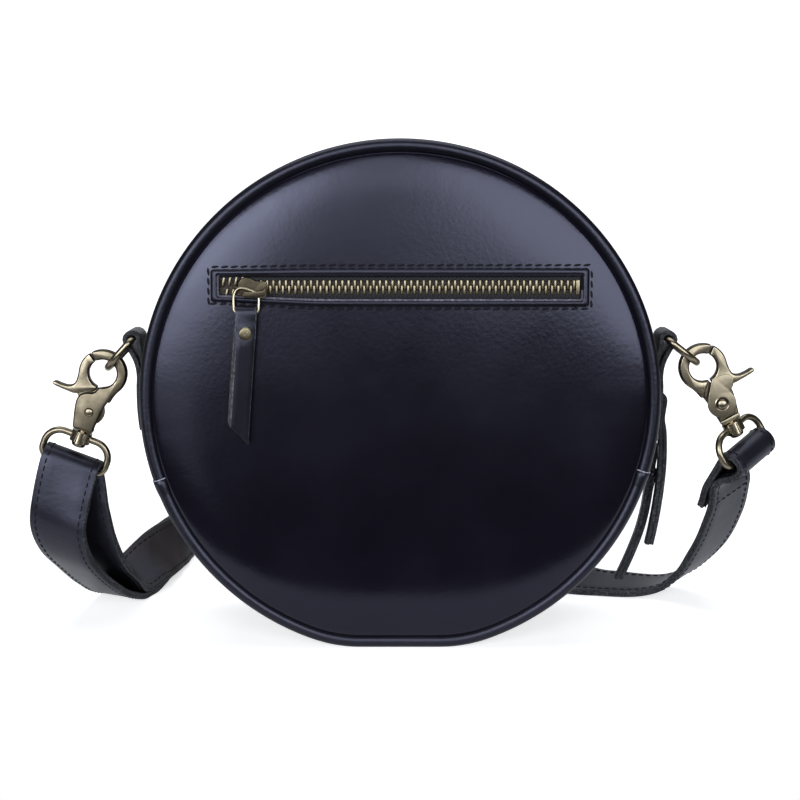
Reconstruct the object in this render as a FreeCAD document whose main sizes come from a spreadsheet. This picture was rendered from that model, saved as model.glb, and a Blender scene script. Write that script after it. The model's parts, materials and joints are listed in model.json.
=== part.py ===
import FreeCAD, Part

# Round leather crossbody bag standing on its flattened base, its strap clipped on and lying behind it.
# X runs to the right, Y away from the pocket side, Z up. The origin is the middle of the base.
# Sizes are in millimetres and angles in degrees.

import math
import os

from FreeCAD import Placement, Rotation, Vector

SIZES = {
    # Shell of the bag
    "bag_radius": 106.0,
    "base_drop": 3.0,
    "base_corner_radius": 60.0,
    "gusset_half_width": 30.4,
    "gusset_thick": 2.0,
    "piping_radius": 2.55,
    "piping_inset": 2.6,
    "piping_gap": 0.1,
    "panel_thick": 2.0,
    "panel_crown": 8.0,
    "panel_rim_radius": 5.5,
    "seam_angle": 20.5,
    "seam_gap": 0.2,
    "fabric_thick": 0.8,
    "lining_gap": 0.3,
    # Flap of the plain side, which folds along a chord
    "flap_angle": 6.0,
    "flap_gap": 0.3,
    # Main zip in the gusset
    "zip_middle": 13.0,
    "zip_opening": 14.0,
    "tape_thick": 0.7,
    "tape_hem": 3.0,
    "tape_gap": 0.1,
    "tooth_pitch": 2.5,
    "tooth_thick": 1.05,
    "tooth_length": 3.9,
    "tooth_height": 2.4,
    "tooth_lap": 1.8,
    "chain_end_angle": 18.5,
    "stop_thick": 1.6,
    # Sliders
    "slider_length": 12.0,
    "slider_width": 8.2,
    "slider_tail_width": 6.8,
    "slider_plate": 1.2,
    "slider_gap": 0.3,
    "slider_side_gap": 0.2,
    "slider_post": 1.6,
    "bail_radius": 0.9,
    "bail_height": 5.4,
    "bail_half_width": 3.2,
    "pocket_bail_height": 2.9,
    "upper_slider_angle": -3.0,
    "lower_slider_angle": -14.0,
    # Leather thongs on the main sliders
    "thong_width": 4.0,
    "thong_thick": 1.6,
    "thong_gap": 0.3,
    "thong_length": 62.0,
    # Pocket zip
    "pocket_zip_height": 150.3,
    "pocket_lip": 1.0,
    "pocket_tape_width": 9.0,
    "pocket_slider_reach": 13.2,
    "pouch_depth": 105.0,
    "pouch_thick": 4.2,
    "pouch_side_gap": 2.96,
    "pull_wire_radius": 0.8,
    "pull_ring_gap": 0.3,
    "pull_ring_length": 9.5,
    "pull_ring_lean": 1.7,
    "pull_tab_width": 7.8,
    "pull_tab_length": 49.0,
    "pull_tab_slant": 9.0,
    "pull_tab_sway": 4.5,
    "pull_tab_thick": 1.6,
    "pull_rivet_drop": 8.0,
    "pull_rivet_radius": 1.2,
    "pull_rivet_cap": 2.9,
    # Side tabs and D-rings
    "tab_middle": -8.0,
    "tab_width": 16.0,
    "tab_thick": 1.6,
    "tab_gap": 0.1,
    "tab_loop_gap": 0.5,
    "tab_bar_reach": 8.0,
    "tab_bar_angle": 12.0,
    "tab_end_angle": -9.0,
    "ring_wire_radius": 1.5,
    "ring_side_gap": 0.5,
    "ring_depth": 16.9,
    "ring_corner": 3.0,
    "ring_split": 0.3,
    "left_ring_drop": 47.5,
    "right_ring_drop": 37.5,
    # Trigger hooks
    "hook_reach": 20.4,
    "hook_outer_radius": 10.0,
    "hook_inner_radius": 5.8,
    "hook_thick": 4.2,
    "hook_round": 1.3,
    "hook_eye_height": 33.5,
    "hook_foot_height": 7.0,
    "hook_pivot_height": 16.0,
    "hook_foot_half_width": 4.4,
    "hook_waist_half_width": 5.5,
    "gate_split_angle": 143.0,
    "gate_split_gap": 1.5,
    "gate_gap": 0.1,
    "gate_disc_radius": 4.4,
    "lever_reach": 18.4,
    "pivot_radius": 1.3,
    "pivot_gap": 0.06,
    "pivot_cap_radius": 2.3,
    "pivot_cap_height": 0.7,
    "spring_wire_radius": 0.25,
    "spring_radius": 2.3,
    "spring_well": 1.1,
    "stem_radius": 1.9,
    "stem_gap": 0.08,
    "knob_radius": 3.0,
    "knob_height": 1.9,
    "left_hook_lean": 20.8,
    "right_hook_lean": 28.5,
    "right_loop_turn": 37.0,
    "right_fold_turn": 57.0,
    # Strap loops of the hooks
    "collar_radius": 4.3,
    "collar_end_gap": 0.2,
    "loop_wire_radius": 1.45,
    "loop_half_width": 14.0,
    "loop_top_corner": 7.0,
    "loop_low_corner": 4.0,
    "loop_drop": 13.1,
    # Strap and its slide
    "strap_width": 24.6,
    "strap_thick": 2.6,
    "strap_loop_gap": 1.7,
    "strap_layer_gap": 0.5,
    "strap_floor_gap": 0.1,
    "strap_tail_length": 33.0,
    "strap_turn_radius": 22.0,
    "strap_first_turn_radius": 28.0,
    "strap_back_row": 150.0,
    "slide_place": -30.0,
    "slide_bar_radius": 1.3,
    "slide_pitch": 12.0,
    "slide_gap": 0.25,
}

doc = FreeCAD.newDocument("CircleBag")
sheet = doc.addObject("Spreadsheet::Sheet", "Sizes")
for row, (alias, value) in enumerate(SIZES.items(), start=1):
    sheet.set(f"A{row}", alias)
    sheet.set(f"B{row}", str(value))
    sheet.setAlias(f"B{row}", alias)
doc.recompute()

pieces = []


def size(alias):
    """Read one driving size from the sheet."""
    return float(sheet.get(alias))


def keep(piece):
    """Count a document object as one of the bag's pieces."""
    pieces.append(piece)
    return piece


def add_shape(label, shape):
    """Add a piece whose form is made directly from curves, with its sizes read from the sheet."""
    piece = doc.addObject("Part::Feature", label)
    piece.Label = label
    piece.Shape = shape
    return keep(piece)


# Outline of the bag seen from the pocket side: a circle joined to a flat base by two corner arcs.

centre_height = size("bag_radius") - size("base_drop")
corner_radius = size("base_corner_radius")
corner_x = math.sqrt((size("bag_radius") - corner_radius) ** 2 - (centre_height - corner_radius) ** 2)
corner_angle = math.degrees(math.atan2(centre_height - corner_radius, corner_x))


def polar(x, z, radius, angle, y=0.0):
    """Point at an angle round (x, z), counted from +X towards +Z."""
    turn = math.radians(angle)
    return Vector(x + radius * math.cos(turn), y, z + radius * math.sin(turn))


def on_bag(radius, angle, y=0.0):
    """Point at a distance and an angle from the bag's middle."""
    return polar(0.0, centre_height, radius, angle, y)


def arc_edge(x, z, radius, start, end, y):
    """Arc in an upright plane between two angles."""
    first = polar(x, z, radius, start, y)
    middle = polar(x, z, radius, (start + end) / 2.0, y)
    return Part.Arc(first, middle, polar(x, z, radius, end, y)).toShape()


def outline(inset, y, start=None, end=None):
    """Edges of the bag's outline, moved inwards by an inset, between two angles or all the way round."""
    if start is None:
        start = -corner_angle
        end = 360.0 - corner_angle
    radius = size("bag_radius") - inset
    corner = corner_radius - inset
    arcs = (
        (0.0, centre_height, radius, -corner_angle, 180.0 + corner_angle),
        (-corner_x, corner_radius, corner, 180.0 + corner_angle, 270.0),
        (corner_x, corner_radius, corner, 270.0, 360.0 - corner_angle),
        (0.0, centre_height, radius, 360.0 - corner_angle, 540.0 + corner_angle),
    )
    edges = []
    for x, z, arc_radius, low, high in arcs:
        first = max(low, start)
        last = min(high, end)
        if first < last - 1e-6:
            edges.append(arc_edge(x, z, arc_radius, first, last, y))
        if abs(high - 270.0) < 1e-6 and start < 270.0 < end:
            edges.append(Part.makeLine(Vector(-corner_x, y, inset), Vector(corner_x, y, inset)))
    return edges


def disc(inset, near, far):
    """Solid of the whole outline between two depths."""
    face = Part.Face(Part.Wire(outline(inset, near)))
    return face.extrude(Vector(0, far - near, 0))


def band(outer, inner, near, far, start, end):
    """Curved strip of the gusset between two insets, two depths and two angles."""
    outside = outline(outer, near, start, end)
    inside = outline(inner, near, start, end)
    joins = [
        Part.makeLine(outside[0].Vertexes[0].Point, inside[0].Vertexes[0].Point),
        Part.makeLine(outside[-1].Vertexes[-1].Point, inside[-1].Vertexes[-1].Point),
    ]
    wire = Part.Wire(Part.__sortEdges__(outside + inside + joins))
    return Part.Face(wire).extrude(Vector(0, far - near, 0))


def tube(edges, radius):
    """Round tube along a smooth open run of edges."""
    path = Part.Wire(edges)
    first = path.OrderedEdges[0]
    start = path.OrderedVertexes[0].Point
    along = first.tangentAt(first.FirstParameter)
    if (first.valueAt(first.FirstParameter) - start).Length > 1e-6:
        along = first.tangentAt(first.LastParameter)
    section = Part.Wire([Part.makeCircle(radius, start, along)])
    return path.makePipeShell([section], True, False)


def group(label, solids):
    """Several alike solids that share one piece."""
    return add_shape(label, Part.makeCompound(solids))


def ribbon(stations, width, thick):
    """Flat leather strip through stations, each a middle point and a direction across the strip."""
    sections = []
    last = len(stations) - 1
    for index, (middle, across) in enumerate(stations):
        ahead = stations[min(index + 1, last)][0]
        behind = stations[max(index - 1, 0)][0]
        along = (ahead - behind).normalize()
        across = Vector(across)
        across = (across - along * across.dot(along)).normalize()
        inward = across.cross(along)
        side = across * (width / 2.0)
        lift = inward * (thick / 2.0)
        corners = [middle - side - lift, middle + side - lift, middle + side + lift, middle - side + lift]
        sections.append(Part.makePolygon(corners + corners[:1]))
    return Part.makeLoft(sections, True, True)


# Levels of the layers, from the outside of the bag to the inside.

gusset_half = size("gusset_half_width")
gusset_thick = size("gusset_thick")
piping_reach = size("piping_inset") + size("piping_radius")
piping_depth = gusset_half + size("piping_radius")
panel_inset = piping_reach + size("piping_gap")
panel_back = gusset_half + size("piping_gap")
panel_face = panel_back + size("panel_crown")
panel_inside = panel_face - size("panel_thick")
seam = size("seam_angle")
flap_start = size("flap_angle")
flap_height = centre_height + size("bag_radius") * math.sin(math.radians(flap_start))


def dished_panel(side):
    """Crowned leather panel, hollow behind, on the pocket side (-1) or the plain side (+1)."""
    wall = size("panel_thick")
    rim = size("panel_rim_radius")
    outer = disc(panel_inset, side * panel_back, side * panel_face)
    outer = outer.makeFillet(rim, rim_edges(outer, side * panel_face))
    inner = disc(panel_inset + wall, side * (panel_back - wall), side * panel_inside)
    inner = inner.makeFillet(rim - wall, rim_edges(inner, side * panel_inside))
    return outer.cut(inner)


def rim_edges(solid, depth):
    """Edges of a solid that lie wholly at one depth."""
    return [edge for edge in solid.Edges if abs(edge.BoundBox.YMin - depth) + abs(edge.BoundBox.YMax - depth) < 1e-3]


def above(height):
    """Large block above a height."""
    reach = 4.0 * size("bag_radius")
    return Part.makeBox(reach, reach, reach, Vector(-reach / 2.0, -reach / 2.0, height))


def below(height):
    """Large block below a height."""
    reach = 4.0 * size("bag_radius")
    return Part.makeBox(reach, reach, reach, Vector(-reach / 2.0, -reach / 2.0, height - reach))


# Panels

zip_height = size("pocket_zip_height")
lip = size("pocket_lip")
tape_width = size("pocket_tape_width")
tooth_length = size("tooth_length")
row_reach = tooth_length - size("tooth_lap") / 2.0
window_height = size("slider_width") + 2.0 * (size("slider_side_gap") + lip)
pouch_top = zip_height + row_reach + tape_width
hollow_radius = size("bag_radius") - panel_inset - size("panel_thick")
pouch_reach = math.sqrt(hollow_radius**2 - (pouch_top - centre_height) ** 2) - size("pouch_side_gap")
pouch_length = 2.0 * pouch_reach
window_length = pouch_length - 2.0 * size("tape_hem")


def window(length, height, near, far):
    """Block as long and tall as a window of the pocket, between two depths."""
    corner = Vector(-length / 2.0, near, zip_height - height / 2.0)
    return Part.makeBox(length, far - near, height, corner)


add_shape("pocket_panel", dished_panel(-1).cut(window(window_length, window_height, -panel_face - 1.0, -panel_back)))
plain_panel = dished_panel(1)
half_gap = size("flap_gap") / 2.0
add_shape("plain_panel_lower", plain_panel.common(below(flap_height - half_gap)))
add_shape("flap_panel", plain_panel.common(above(flap_height + half_gap)))

# Gusset: one lower length, and two strips beside the main zip

zip_near = size("zip_middle") - size("zip_opening") / 2.0
zip_far = size("zip_middle") + size("zip_opening") / 2.0
flap_clear = math.degrees(half_gap / size("bag_radius"))
seam_clear = math.degrees(size("seam_gap") / size("bag_radius"))
right_end = (-seam + seam_clear, flap_start - flap_clear)
left_end = (180.0 - flap_start + flap_clear, 180.0 + seam - seam_clear)
flap_span = (flap_start + flap_clear, 180.0 - flap_start - flap_clear)
upper_span = (-seam + seam_clear, 180.0 + seam - seam_clear)
lower_span = (180.0 + seam, 360.0 - seam)

add_shape("lower_gusset", band(0.0, gusset_thick, -gusset_half, gusset_half, *lower_span))
add_shape("wide_zip_strip", band(0.0, gusset_thick, -gusset_half, zip_near, *upper_span))
add_shape("flap_zip_strip", band(0.0, gusset_thick, zip_far, gusset_half, *flap_span))
group("narrow_strip_ends", [band(0.0, gusset_thick, zip_far, gusset_half, *span) for span in (right_end, left_end)])

# Piping along both rims, joined where the lower gusset meets the zip strips


def piping(side, span):
    """Length of piping on one rim between two angles."""
    return tube(outline(size("piping_inset"), side * piping_depth, *span), size("piping_radius"))


add_shape("pocket_piping_upper", piping(-1, upper_span))
add_shape("pocket_piping_lower", piping(-1, lower_span))
add_shape("plain_piping_lower", piping(1, lower_span))
add_shape("flap_piping", piping(1, flap_span))
group("plain_piping_ends", [piping(1, span) for span in (right_end, left_end)])

# Main zip: tapes under the strips, two rows of teeth that lap in the middle

tape_inset = gusset_thick + size("tape_gap")
tape_thick = size("tape_thick")
tooth_height = size("tooth_height")
tooth_thick = size("tooth_thick")
pitch = size("tooth_pitch")
wide_root = size("zip_middle") - row_reach
flap_root = size("zip_middle") + row_reach
tape_wide_edge = zip_near - size("tape_hem")
tape_flap_edge = zip_far + size("tape_hem")
tooth_level = size("bag_radius") - tape_inset - tape_thick / 2.0
tooth_step = math.degrees(pitch / tooth_level)
chain_end = size("chain_end_angle")


def tape(near, far, span):
    """Length of zip tape under the strips."""
    return band(tape_inset, tape_inset + tape_thick, near, far, *span)


def main_tooth(angle, side):
    """One tooth of the main zip, on the wide strip's row (-1) or the other row (+1)."""
    low = wide_root if side < 0 else flap_root - tooth_length
    block = Part.makeBox(tooth_height, tooth_length, tooth_thick, Vector(-tooth_height / 2.0, low, -tooth_thick / 2.0))
    block.Placement = Placement(on_bag(tooth_level, angle), Rotation(Vector(0, -1, 0), angle))
    return block


def main_row(side, low, high):
    """Teeth of one row between two angles, with none where the sliders part the rows."""
    half_slider = math.degrees(size("slider_length") / 2.0 / tooth_level)
    open_low = size("lower_slider_angle")
    open_high = size("upper_slider_angle")
    offset = 0.0 if side < 0 else tooth_step / 2.0
    count = int((180.0 + 2.0 * chain_end) / tooth_step)
    angles = [-chain_end + offset + step * tooth_step for step in range(count)]
    margin = math.degrees((tooth_thick / 2.0 + half_gap) / tooth_level)
    return [
        main_tooth(angle, side)
        for angle in angles
        if low + margin < angle < high - margin and not open_low - half_slider * 0.2 < angle < open_high + half_slider * 0.2
    ]


add_shape("main_tape_wide", tape(tape_wide_edge, wide_root, upper_span))
add_shape("flap_tape", tape(flap_root, tape_flap_edge, flap_span))
group("narrow_tape_ends", [tape(flap_root, tape_flap_edge, span) for span in (right_end, left_end)])
group("main_teeth_wide", main_row(-1, -90.0, 270.0))
group("flap_teeth", main_row(1, *flap_span))
group("narrow_teeth_ends", main_row(1, *right_end) + main_row(1, *left_end))


def main_stop(angle):
    """Metal stop across both tapes at one end of the main zip."""
    reach = 2.0 * row_reach
    stop = Part.makeBox(tooth_height, reach, size("stop_thick"), Vector(-tooth_height / 2.0, wide_root, -size("stop_thick") / 2.0))
    stop.Placement = Placement(on_bag(tooth_level, angle), Rotation(Vector(0, -1, 0), angle))
    return stop


stop_step = (size("stop_thick") + tooth_thick) / 2.0 + size("seam_gap")
stop_angle = chain_end + math.degrees(stop_step / tooth_level)
group("main_zip_stops", [main_stop(-stop_angle), main_stop(180.0 + stop_angle)])

# Lining: a cup of fabric inside the pocket side and the gusset, and a sheet inside the flap

lining_inset = gusset_thick + size("tape_gap") + tape_thick + size("lining_gap")
fabric = size("fabric_thick")
lining_back = -gusset_half + size("lining_gap")
lining_mouth = tape_wide_edge - size("lining_gap")
lining = disc(lining_inset, lining_back, lining_mouth)
lining = lining.cut(disc(lining_inset + fabric, lining_back + fabric, lining_mouth + fabric))
add_shape("lining", lining)
flap_sheet = disc(panel_inset + size("panel_thick") + size("lining_gap"), panel_back, panel_back + fabric)
add_shape("flap_lining", flap_sheet.common(above(flap_height + half_gap)))

# Pocket behind the panel's window

tape_face = -panel_inside + size("tape_gap")
tape_back = tape_face + tape_thick
chain_depth = (tape_face + tape_back) / 2.0
welt = window(window_length, window_height, -panel_face, -panel_inside)
welt = welt.cut(window(window_length - 2.0 * lip, window_height - 2.0 * lip, -panel_face - 1.0, -panel_back))
add_shape("pocket_welt", welt)


def pocket_tape(side):
    """Tape above (+1) or below (-1) the pocket's zip."""
    low = zip_height + row_reach if side > 0 else zip_height - row_reach - tape_width
    return Part.makeBox(pouch_length, tape_thick, tape_width, Vector(-pouch_reach, tape_face, low))


add_shape("pocket_tape_upper", pocket_tape(1))
add_shape("pocket_tape_lower", pocket_tape(-1))

half_slider = size("slider_length") / 2.0
chain_left = -window_length / 2.0 + lip
pocket_place = chain_left + size("pocket_slider_reach")
chain_right = window_length / 2.0 - lip - size("stop_thick") - 2.0 * size("seam_gap")


def pocket_tooth(x, side):
    """One tooth of the pocket's zip. Left of the slider the rows stand apart."""
    length = tooth_length
    if x < pocket_place - half_slider * 0.2:
        length = tooth_length - size("tooth_lap")
    low = zip_height + row_reach - length if side > 0 else zip_height - row_reach
    corner = Vector(x - tooth_thick / 2.0, chain_depth - tooth_height / 2.0, low)
    return Part.makeBox(tooth_thick, tooth_height, length, corner)


def pocket_row(side):
    """Teeth of the upper (+1) or lower (-1) row."""
    offset = 0.0 if side > 0 else pitch / 2.0
    count = int((chain_right - chain_left) / pitch)
    places = [chain_right - tooth_thick / 2.0 - offset - step * pitch for step in range(count)]
    return [pocket_tooth(x, side) for x in places if x > chain_left + tooth_thick]


group("pocket_teeth_upper", pocket_row(1))
group("pocket_teeth_lower", pocket_row(-1))


def pocket_stop(x):
    """Metal stop across the pocket's zip, its left edge at x."""
    corner = Vector(x, chain_depth - tooth_height / 2.0, zip_height - row_reach)
    return Part.makeBox(size("stop_thick"), tooth_height, 2.0 * row_reach, corner)


group("pocket_zip_stops", [pocket_stop(chain_right + size("seam_gap"))])

pouch_front = tape_back + size("tape_gap")
pouch_back = pouch_front + size("pouch_thick")
pouch_low = pouch_top - size("pouch_depth")
pouch_corner = Vector(-pouch_reach, pouch_front, pouch_low)
pouch = Part.makeBox(pouch_length, pouch_back - pouch_front, size("pouch_depth"), pouch_corner)
hollow_corner = pouch_corner + Vector(fabric, fabric, fabric)
hollow = Part.makeBox(
    pouch_length - 2.0 * fabric,
    pouch_back - pouch_front - 2.0 * fabric,
    size("pouch_depth") - 2.0 * fabric,
    hollow_corner,
)
pouch = pouch.cut(hollow).cut(window(window_length, 2.0 * row_reach + tape_thick, pouch_front - 1.0, pouch_front + fabric))
add_shape("pocket_pouch", pouch)


# Bodies built from sketches


def new_body(label):
    """Start a sketched piece."""
    body = doc.addObject("PartDesign::Body", label)
    body.Label = label
    return keep(body)


def origin_plane(body, role):
    """One of a body's own origin planes."""
    return next(part for part in body.Origin.OriginFeatures if part.Role == role)


def polygon(points):
    """Closed run of lines through points of a sketch."""
    corners = [Vector(x, y, 0) for x, y in points]
    return [Part.LineSegment(a, b) for a, b in zip(corners, corners[1:] + corners[:1])]


def circle(x, y, radius):
    """Circle in a sketch."""
    return [Part.Circle(Vector(x, y, 0), Vector(0, 0, 1), radius)]


def ring_sector(x, y, inner, outer, start, end):
    """Part of a flat ring between two angles, in a sketch."""
    middle = Vector(x, y, 0)
    up = Vector(0, 0, 1)
    low = math.radians(start)
    high = math.radians(end)

    def at(radius, angle):
        return Vector(x + radius * math.cos(angle), y + radius * math.sin(angle), 0)

    return [
        Part.ArcOfCircle(Part.Circle(middle, up, outer), low, high),
        Part.LineSegment(at(outer, high), at(inner, high)),
        Part.ArcOfCircle(Part.Circle(middle, up, inner), low, high),
        Part.LineSegment(at(inner, low), at(outer, low)),
    ]


def add_sketch(body, name, role, geometry, offset):
    """Sketch on an origin plane, moved along the plane's normal by a formula."""
    sketch = body.newObject("Sketcher::SketchObject", name)
    sketch.AttachmentSupport = [(origin_plane(body, role), "")]
    sketch.MapMode = "FlatFace"
    for curve in geometry:
        sketch.addGeometry(curve, False)
    sketch.setExpression("AttachmentOffset.Base.z", offset)
    return sketch


def add_pad(body, name, role, geometry, offset, length):
    """Raise a sketch by a length, both given as formulas of the sheet."""
    pad = body.newObject("PartDesign::Pad", name)
    pad.Profile = add_sketch(body, name + "Sketch", role, geometry, offset)
    pad.setExpression("Length", length)
    return pad


def add_pocket(body, name, role, geometry, offset, length):
    """Cut a sketch into the body by a length, against the plane's normal."""
    doc.recompute()
    before = body.Shape.Volume
    pocket = body.newObject("PartDesign::Pocket", name)
    pocket.Profile = add_sketch(body, name + "Sketch", role, geometry, offset)
    pocket.setExpression("Length", length)
    doc.recompute()
    if body.Shape.Volume > before - 1e-6:
        raise RuntimeError(f"{body.Label}: {name} cuts nothing")
    return pocket


def add_turned(body, name, geometry):
    """Turn a half profile, drawn in the XZ plane, about the upright axis."""
    turned = body.newObject("PartDesign::Revolution", name)
    turned.Profile = add_sketch(body, name + "Sketch", "XZ_Plane", geometry, "0")
    turned.ReferenceAxis = (turned.Profile[0], ["V_Axis"])
    turned.Angle = 360.0
    return turned


def round_ring(body, name, height):
    """Round the long edges of a hook's ring, which stands at a height."""
    doc.recompute()
    middle = Vector(0, 0, height)
    names = []
    for index, edge in enumerate(body.Shape.Edges, start=1):
        curve = edge.Curve
        if not isinstance(curve, Part.Circle) or (curve.Center - middle).cross(Vector(0, 1, 0)).Length > 1e-3:
            continue
        if curve.Radius > size("hook_inner_radius") - 1e-3:
            names.append(f"Edge{index}")
    ring = body.Tip
    fillet = body.newObject("PartDesign::Fillet", name)
    fillet.Base = (ring, names)
    fillet.setExpression("Radius", "Sizes.hook_round")
    return fillet


# Sliders: two plates joined by a post, with a bail across the top

plate_low = tooth_height / 2.0 + size("slider_gap")


def slider_outline():
    """Shield outline of a slider's plate, its wide end towards -X."""
    tail = size("slider_tail_width") / 2.0
    head = size("slider_width") / 2.0
    shoulder = half_slider * 0.45
    return polygon(
        [
            (-half_slider, -head * 0.7),
            (-shoulder, -head),
            (half_slider * 0.5, -tail),
            (half_slider, -tail * 0.75),
            (half_slider, tail * 0.75),
            (half_slider * 0.5, tail),
            (-shoulder, head),
            (-half_slider, head * 0.7),
        ]
    )


def make_slider(label, bail_height):
    """Slider in its own frame: it runs along X, and Z points out of the bag."""
    body = new_body(label)
    plate = "Sizes.slider_plate"
    level = "(Sizes.tooth_height / 2 + Sizes.slider_gap)"
    post = size("slider_post")
    post_place = -half_slider * 0.72
    add_pad(body, label + "Base", "XY_Plane", slider_outline(), f"-{level} - {plate}", plate)
    post_outline = polygon(
        [(post_place - post, 0.0), (post_place, -post / 2.0), (post_place + post, 0.0), (post_place, post / 2.0)]
    )
    add_pad(body, label + "Post", "XY_Plane", post_outline, f"-{level} - {plate}", f"2 * {level} + 2 * {plate}")
    add_pad(body, label + "Top", "XY_Plane", slider_outline(), level, plate)
    radius = size("bail_radius")
    reach = size("bail_half_width")
    high = plate_low + size("slider_plate") + bail_height
    low = plate_low + size("slider_plate") / 2.0
    arch = polygon(
        [
            (-reach - radius, low),
            (-reach + radius, low),
            (-reach + radius, high - radius),
            (reach - radius, high - radius),
            (reach - radius, low),
            (reach + radius, low),
            (reach + radius, high),
            (reach, high + radius),
            (-reach, high + radius),
            (-reach - radius, high),
        ]
    )
    add_pad(body, label + "Bail", "YZ_Plane", arch, "-Sizes.bail_radius", "2 * Sizes.bail_radius")
    return body


bail_level = plate_low + size("slider_plate") + size("bail_height")


def place_main_slider(label, alias, turn):
    """Put a slider on the main zip at its angle. Turned by 0 its wide end is up, by 180 down."""
    angle = size(alias)
    upright = Rotation(Vector(0, -1, 0), angle).multiply(Rotation(Vector(0, 1, 0), 90.0))
    body = make_slider(label, size("bail_height"))
    body.Placement = Placement(
        on_bag(tooth_level, angle, size("zip_middle")), upright.multiply(Rotation(Vector(0, 0, 1), turn))
    )


place_main_slider("upper_slider", "upper_slider_angle", 180.0)
place_main_slider("lower_slider", "lower_slider_angle", 0.0)

# Leather thongs, doubled round the bails


def thong(alias, route):
    """Lace folded round a slider's bail, both tails hanging along a route of sideways steps."""
    angle = size(alias)
    bar = on_bag(tooth_level + bail_level, angle, size("zip_middle"))
    thick = size("thong_thick")
    bend = size("bail_radius") * math.sqrt(2.0) + size("thong_gap") + thick / 2.0
    spread = (thick + size("thong_gap")) / 2.0
    length = size("thong_length")
    across = Vector(0, 1, 0)
    down = []
    for share, sideways, open_share in route:
        down.append((share * length, sideways, spread * open_share))
    stations = []
    for fall, sideways, apart in reversed(down):
        stations.append((bar + Vector(sideways - apart, 0, -fall), across))
    for turn in range(180, -1, -30):
        stations.append((polar(bar.x, bar.z, bend, turn, bar.y), across))
    for fall, sideways, apart in down:
        stations.append((bar + Vector(sideways + apart, 0, -fall), across))
    return ribbon(stations, size("thong_width"), thick)


add_shape(
    "upper_thong",
    thong(
        "upper_slider_angle",
        ((0.06, 0.3, 1.9), (0.14, 1.2, 1.1), (0.3, 3.1, 1.0), (0.5, 3.0, 1.0), (0.75, 1.2, 1.0), (1.0, -1.4, 1.0)),
    ),
)
add_shape(
    "lower_thong",
    thong(
        "lower_slider_angle",
        ((0.06, 0.0, 1.9), (0.16, -0.4, 1.3), (0.3, -0.9, 1.0), (0.5, -3.0, 1.2), (0.75, -6.6, 1.5), (0.97, -10.6, 1.7)),
    ),
)

# Pocket slider with its ring, tab and rivet

pocket_slider = make_slider("pocket_slider", size("pocket_bail_height"))
facing = Rotation(Vector(1, 0, 0), 90.0)
pocket_slider.Placement = Placement(Vector(pocket_place, chain_depth, zip_height), facing)
wire = size("pull_wire_radius")
top_plate = chain_depth - plate_low - size("slider_plate")
ring_depth = top_plate - size("tape_gap") - wire
ring_half = size("pull_tab_width") / 2.0 + size("pull_ring_gap") + wire
ring_length = size("pull_ring_length")
ring_foot = ring_depth - size("pull_ring_lean")


def rounded_frame(corners, radius, split):
    """Edges of a rounded frame through corners, open by a split in the middle of its first side."""
    count = len(corners)
    edges = []
    start = (corners[0] + corners[-1]) * 0.5
    along = (corners[0] - corners[-1]).normalize()
    point = start + along * (split / 2.0)
    for index, corner in enumerate(corners):
        before = (corners[index - 1] - corner).normalize()
        after = (corners[(index + 1) % count] - corner).normalize()
        half = math.acos(max(-1.0, min(1.0, before.dot(after)))) / 2.0
        leg = radius / math.tan(half)
        inward = (before + after).normalize()
        first = corner + before * leg
        last = corner + after * leg
        middle = corner + inward * (radius / math.sin(half) - radius)
        edges.append(Part.makeLine(point, first))
        edges.append(Part.Arc(first, middle, last).toShape())
        point = last
    edges.append(Part.makeLine(point, start - along * (split / 2.0)))
    return edges


ring_corners = [
    Vector(pocket_place + ring_half, ring_depth, zip_height),
    Vector(pocket_place + ring_half, ring_foot, zip_height - ring_length),
    Vector(pocket_place - ring_half, ring_foot, zip_height - ring_length),
    Vector(pocket_place - ring_half, ring_depth, zip_height),
]
add_shape("pocket_pull_ring", tube(rounded_frame(ring_corners, 2.0 * wire, size("ring_split")), wire))

tab_thick = size("pull_tab_thick")
tab_bend = wire + size("pull_ring_gap") + tab_thick / 2.0
tab_layer = tab_thick / 2.0 + size("tape_gap") / 2.0
bar_height = zip_height - ring_length
tab_length = size("pull_tab_length")
tab_slant = size("pull_tab_slant")
rivet_drop = size("pull_rivet_drop")


def tab_sway(drop):
    """How far the hanging tab has moved to the left at a distance below its ring."""
    return -size("pull_tab_sway") * drop / tab_length


def tab_side(direction):
    """Stations of one layer of the pull tab, from the ring down."""
    stations = []
    for share, apart in ((0.1, 1.4), (0.2, 1.0), (0.5, 1.0), (0.8, 1.0), (1.1, 1.0)):
        drop = share * tab_length
        depth = ring_foot + direction * tab_layer * apart
        stations.append((Vector(pocket_place + tab_sway(drop), depth, bar_height - drop), Vector(1, 0, 0)))
    return stations


tab_bow = []
for turn in range(180, -1, -30):
    bow = math.radians(turn)
    tab_bow.append(
        (
            Vector(pocket_place, ring_foot + tab_bend * math.cos(bow), bar_height + tab_bend * math.sin(bow)),
            Vector(1, 0, 0),
        )
    )
pull_tab = ribbon(list(reversed(tab_side(-1))) + tab_bow + tab_side(1), size("pull_tab_width"), tab_thick)
half_width = size("pull_tab_width") / 2.0
cut_middle = pocket_place + tab_sway(tab_length)
slope = tab_slant / (2.0 * half_width)
trim_points = []
for x, z in (
    (cut_middle - 3.0 * half_width, bar_height - tab_length + tab_slant / 2.0 + slope * 2.0 * half_width),
    (cut_middle + 3.0 * half_width, bar_height - tab_length - tab_slant / 2.0 - slope * 2.0 * half_width),
    (cut_middle + 3.0 * half_width, bar_height - 2.0 * tab_length),
    (cut_middle - 3.0 * half_width, bar_height - 2.0 * tab_length),
):
    trim_points.append(Vector(x, ring_foot - 20.0, z))
trim = Part.Face(Part.makePolygon(trim_points + trim_points[:1])).extrude(Vector(0, 40.0, 0))
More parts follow.
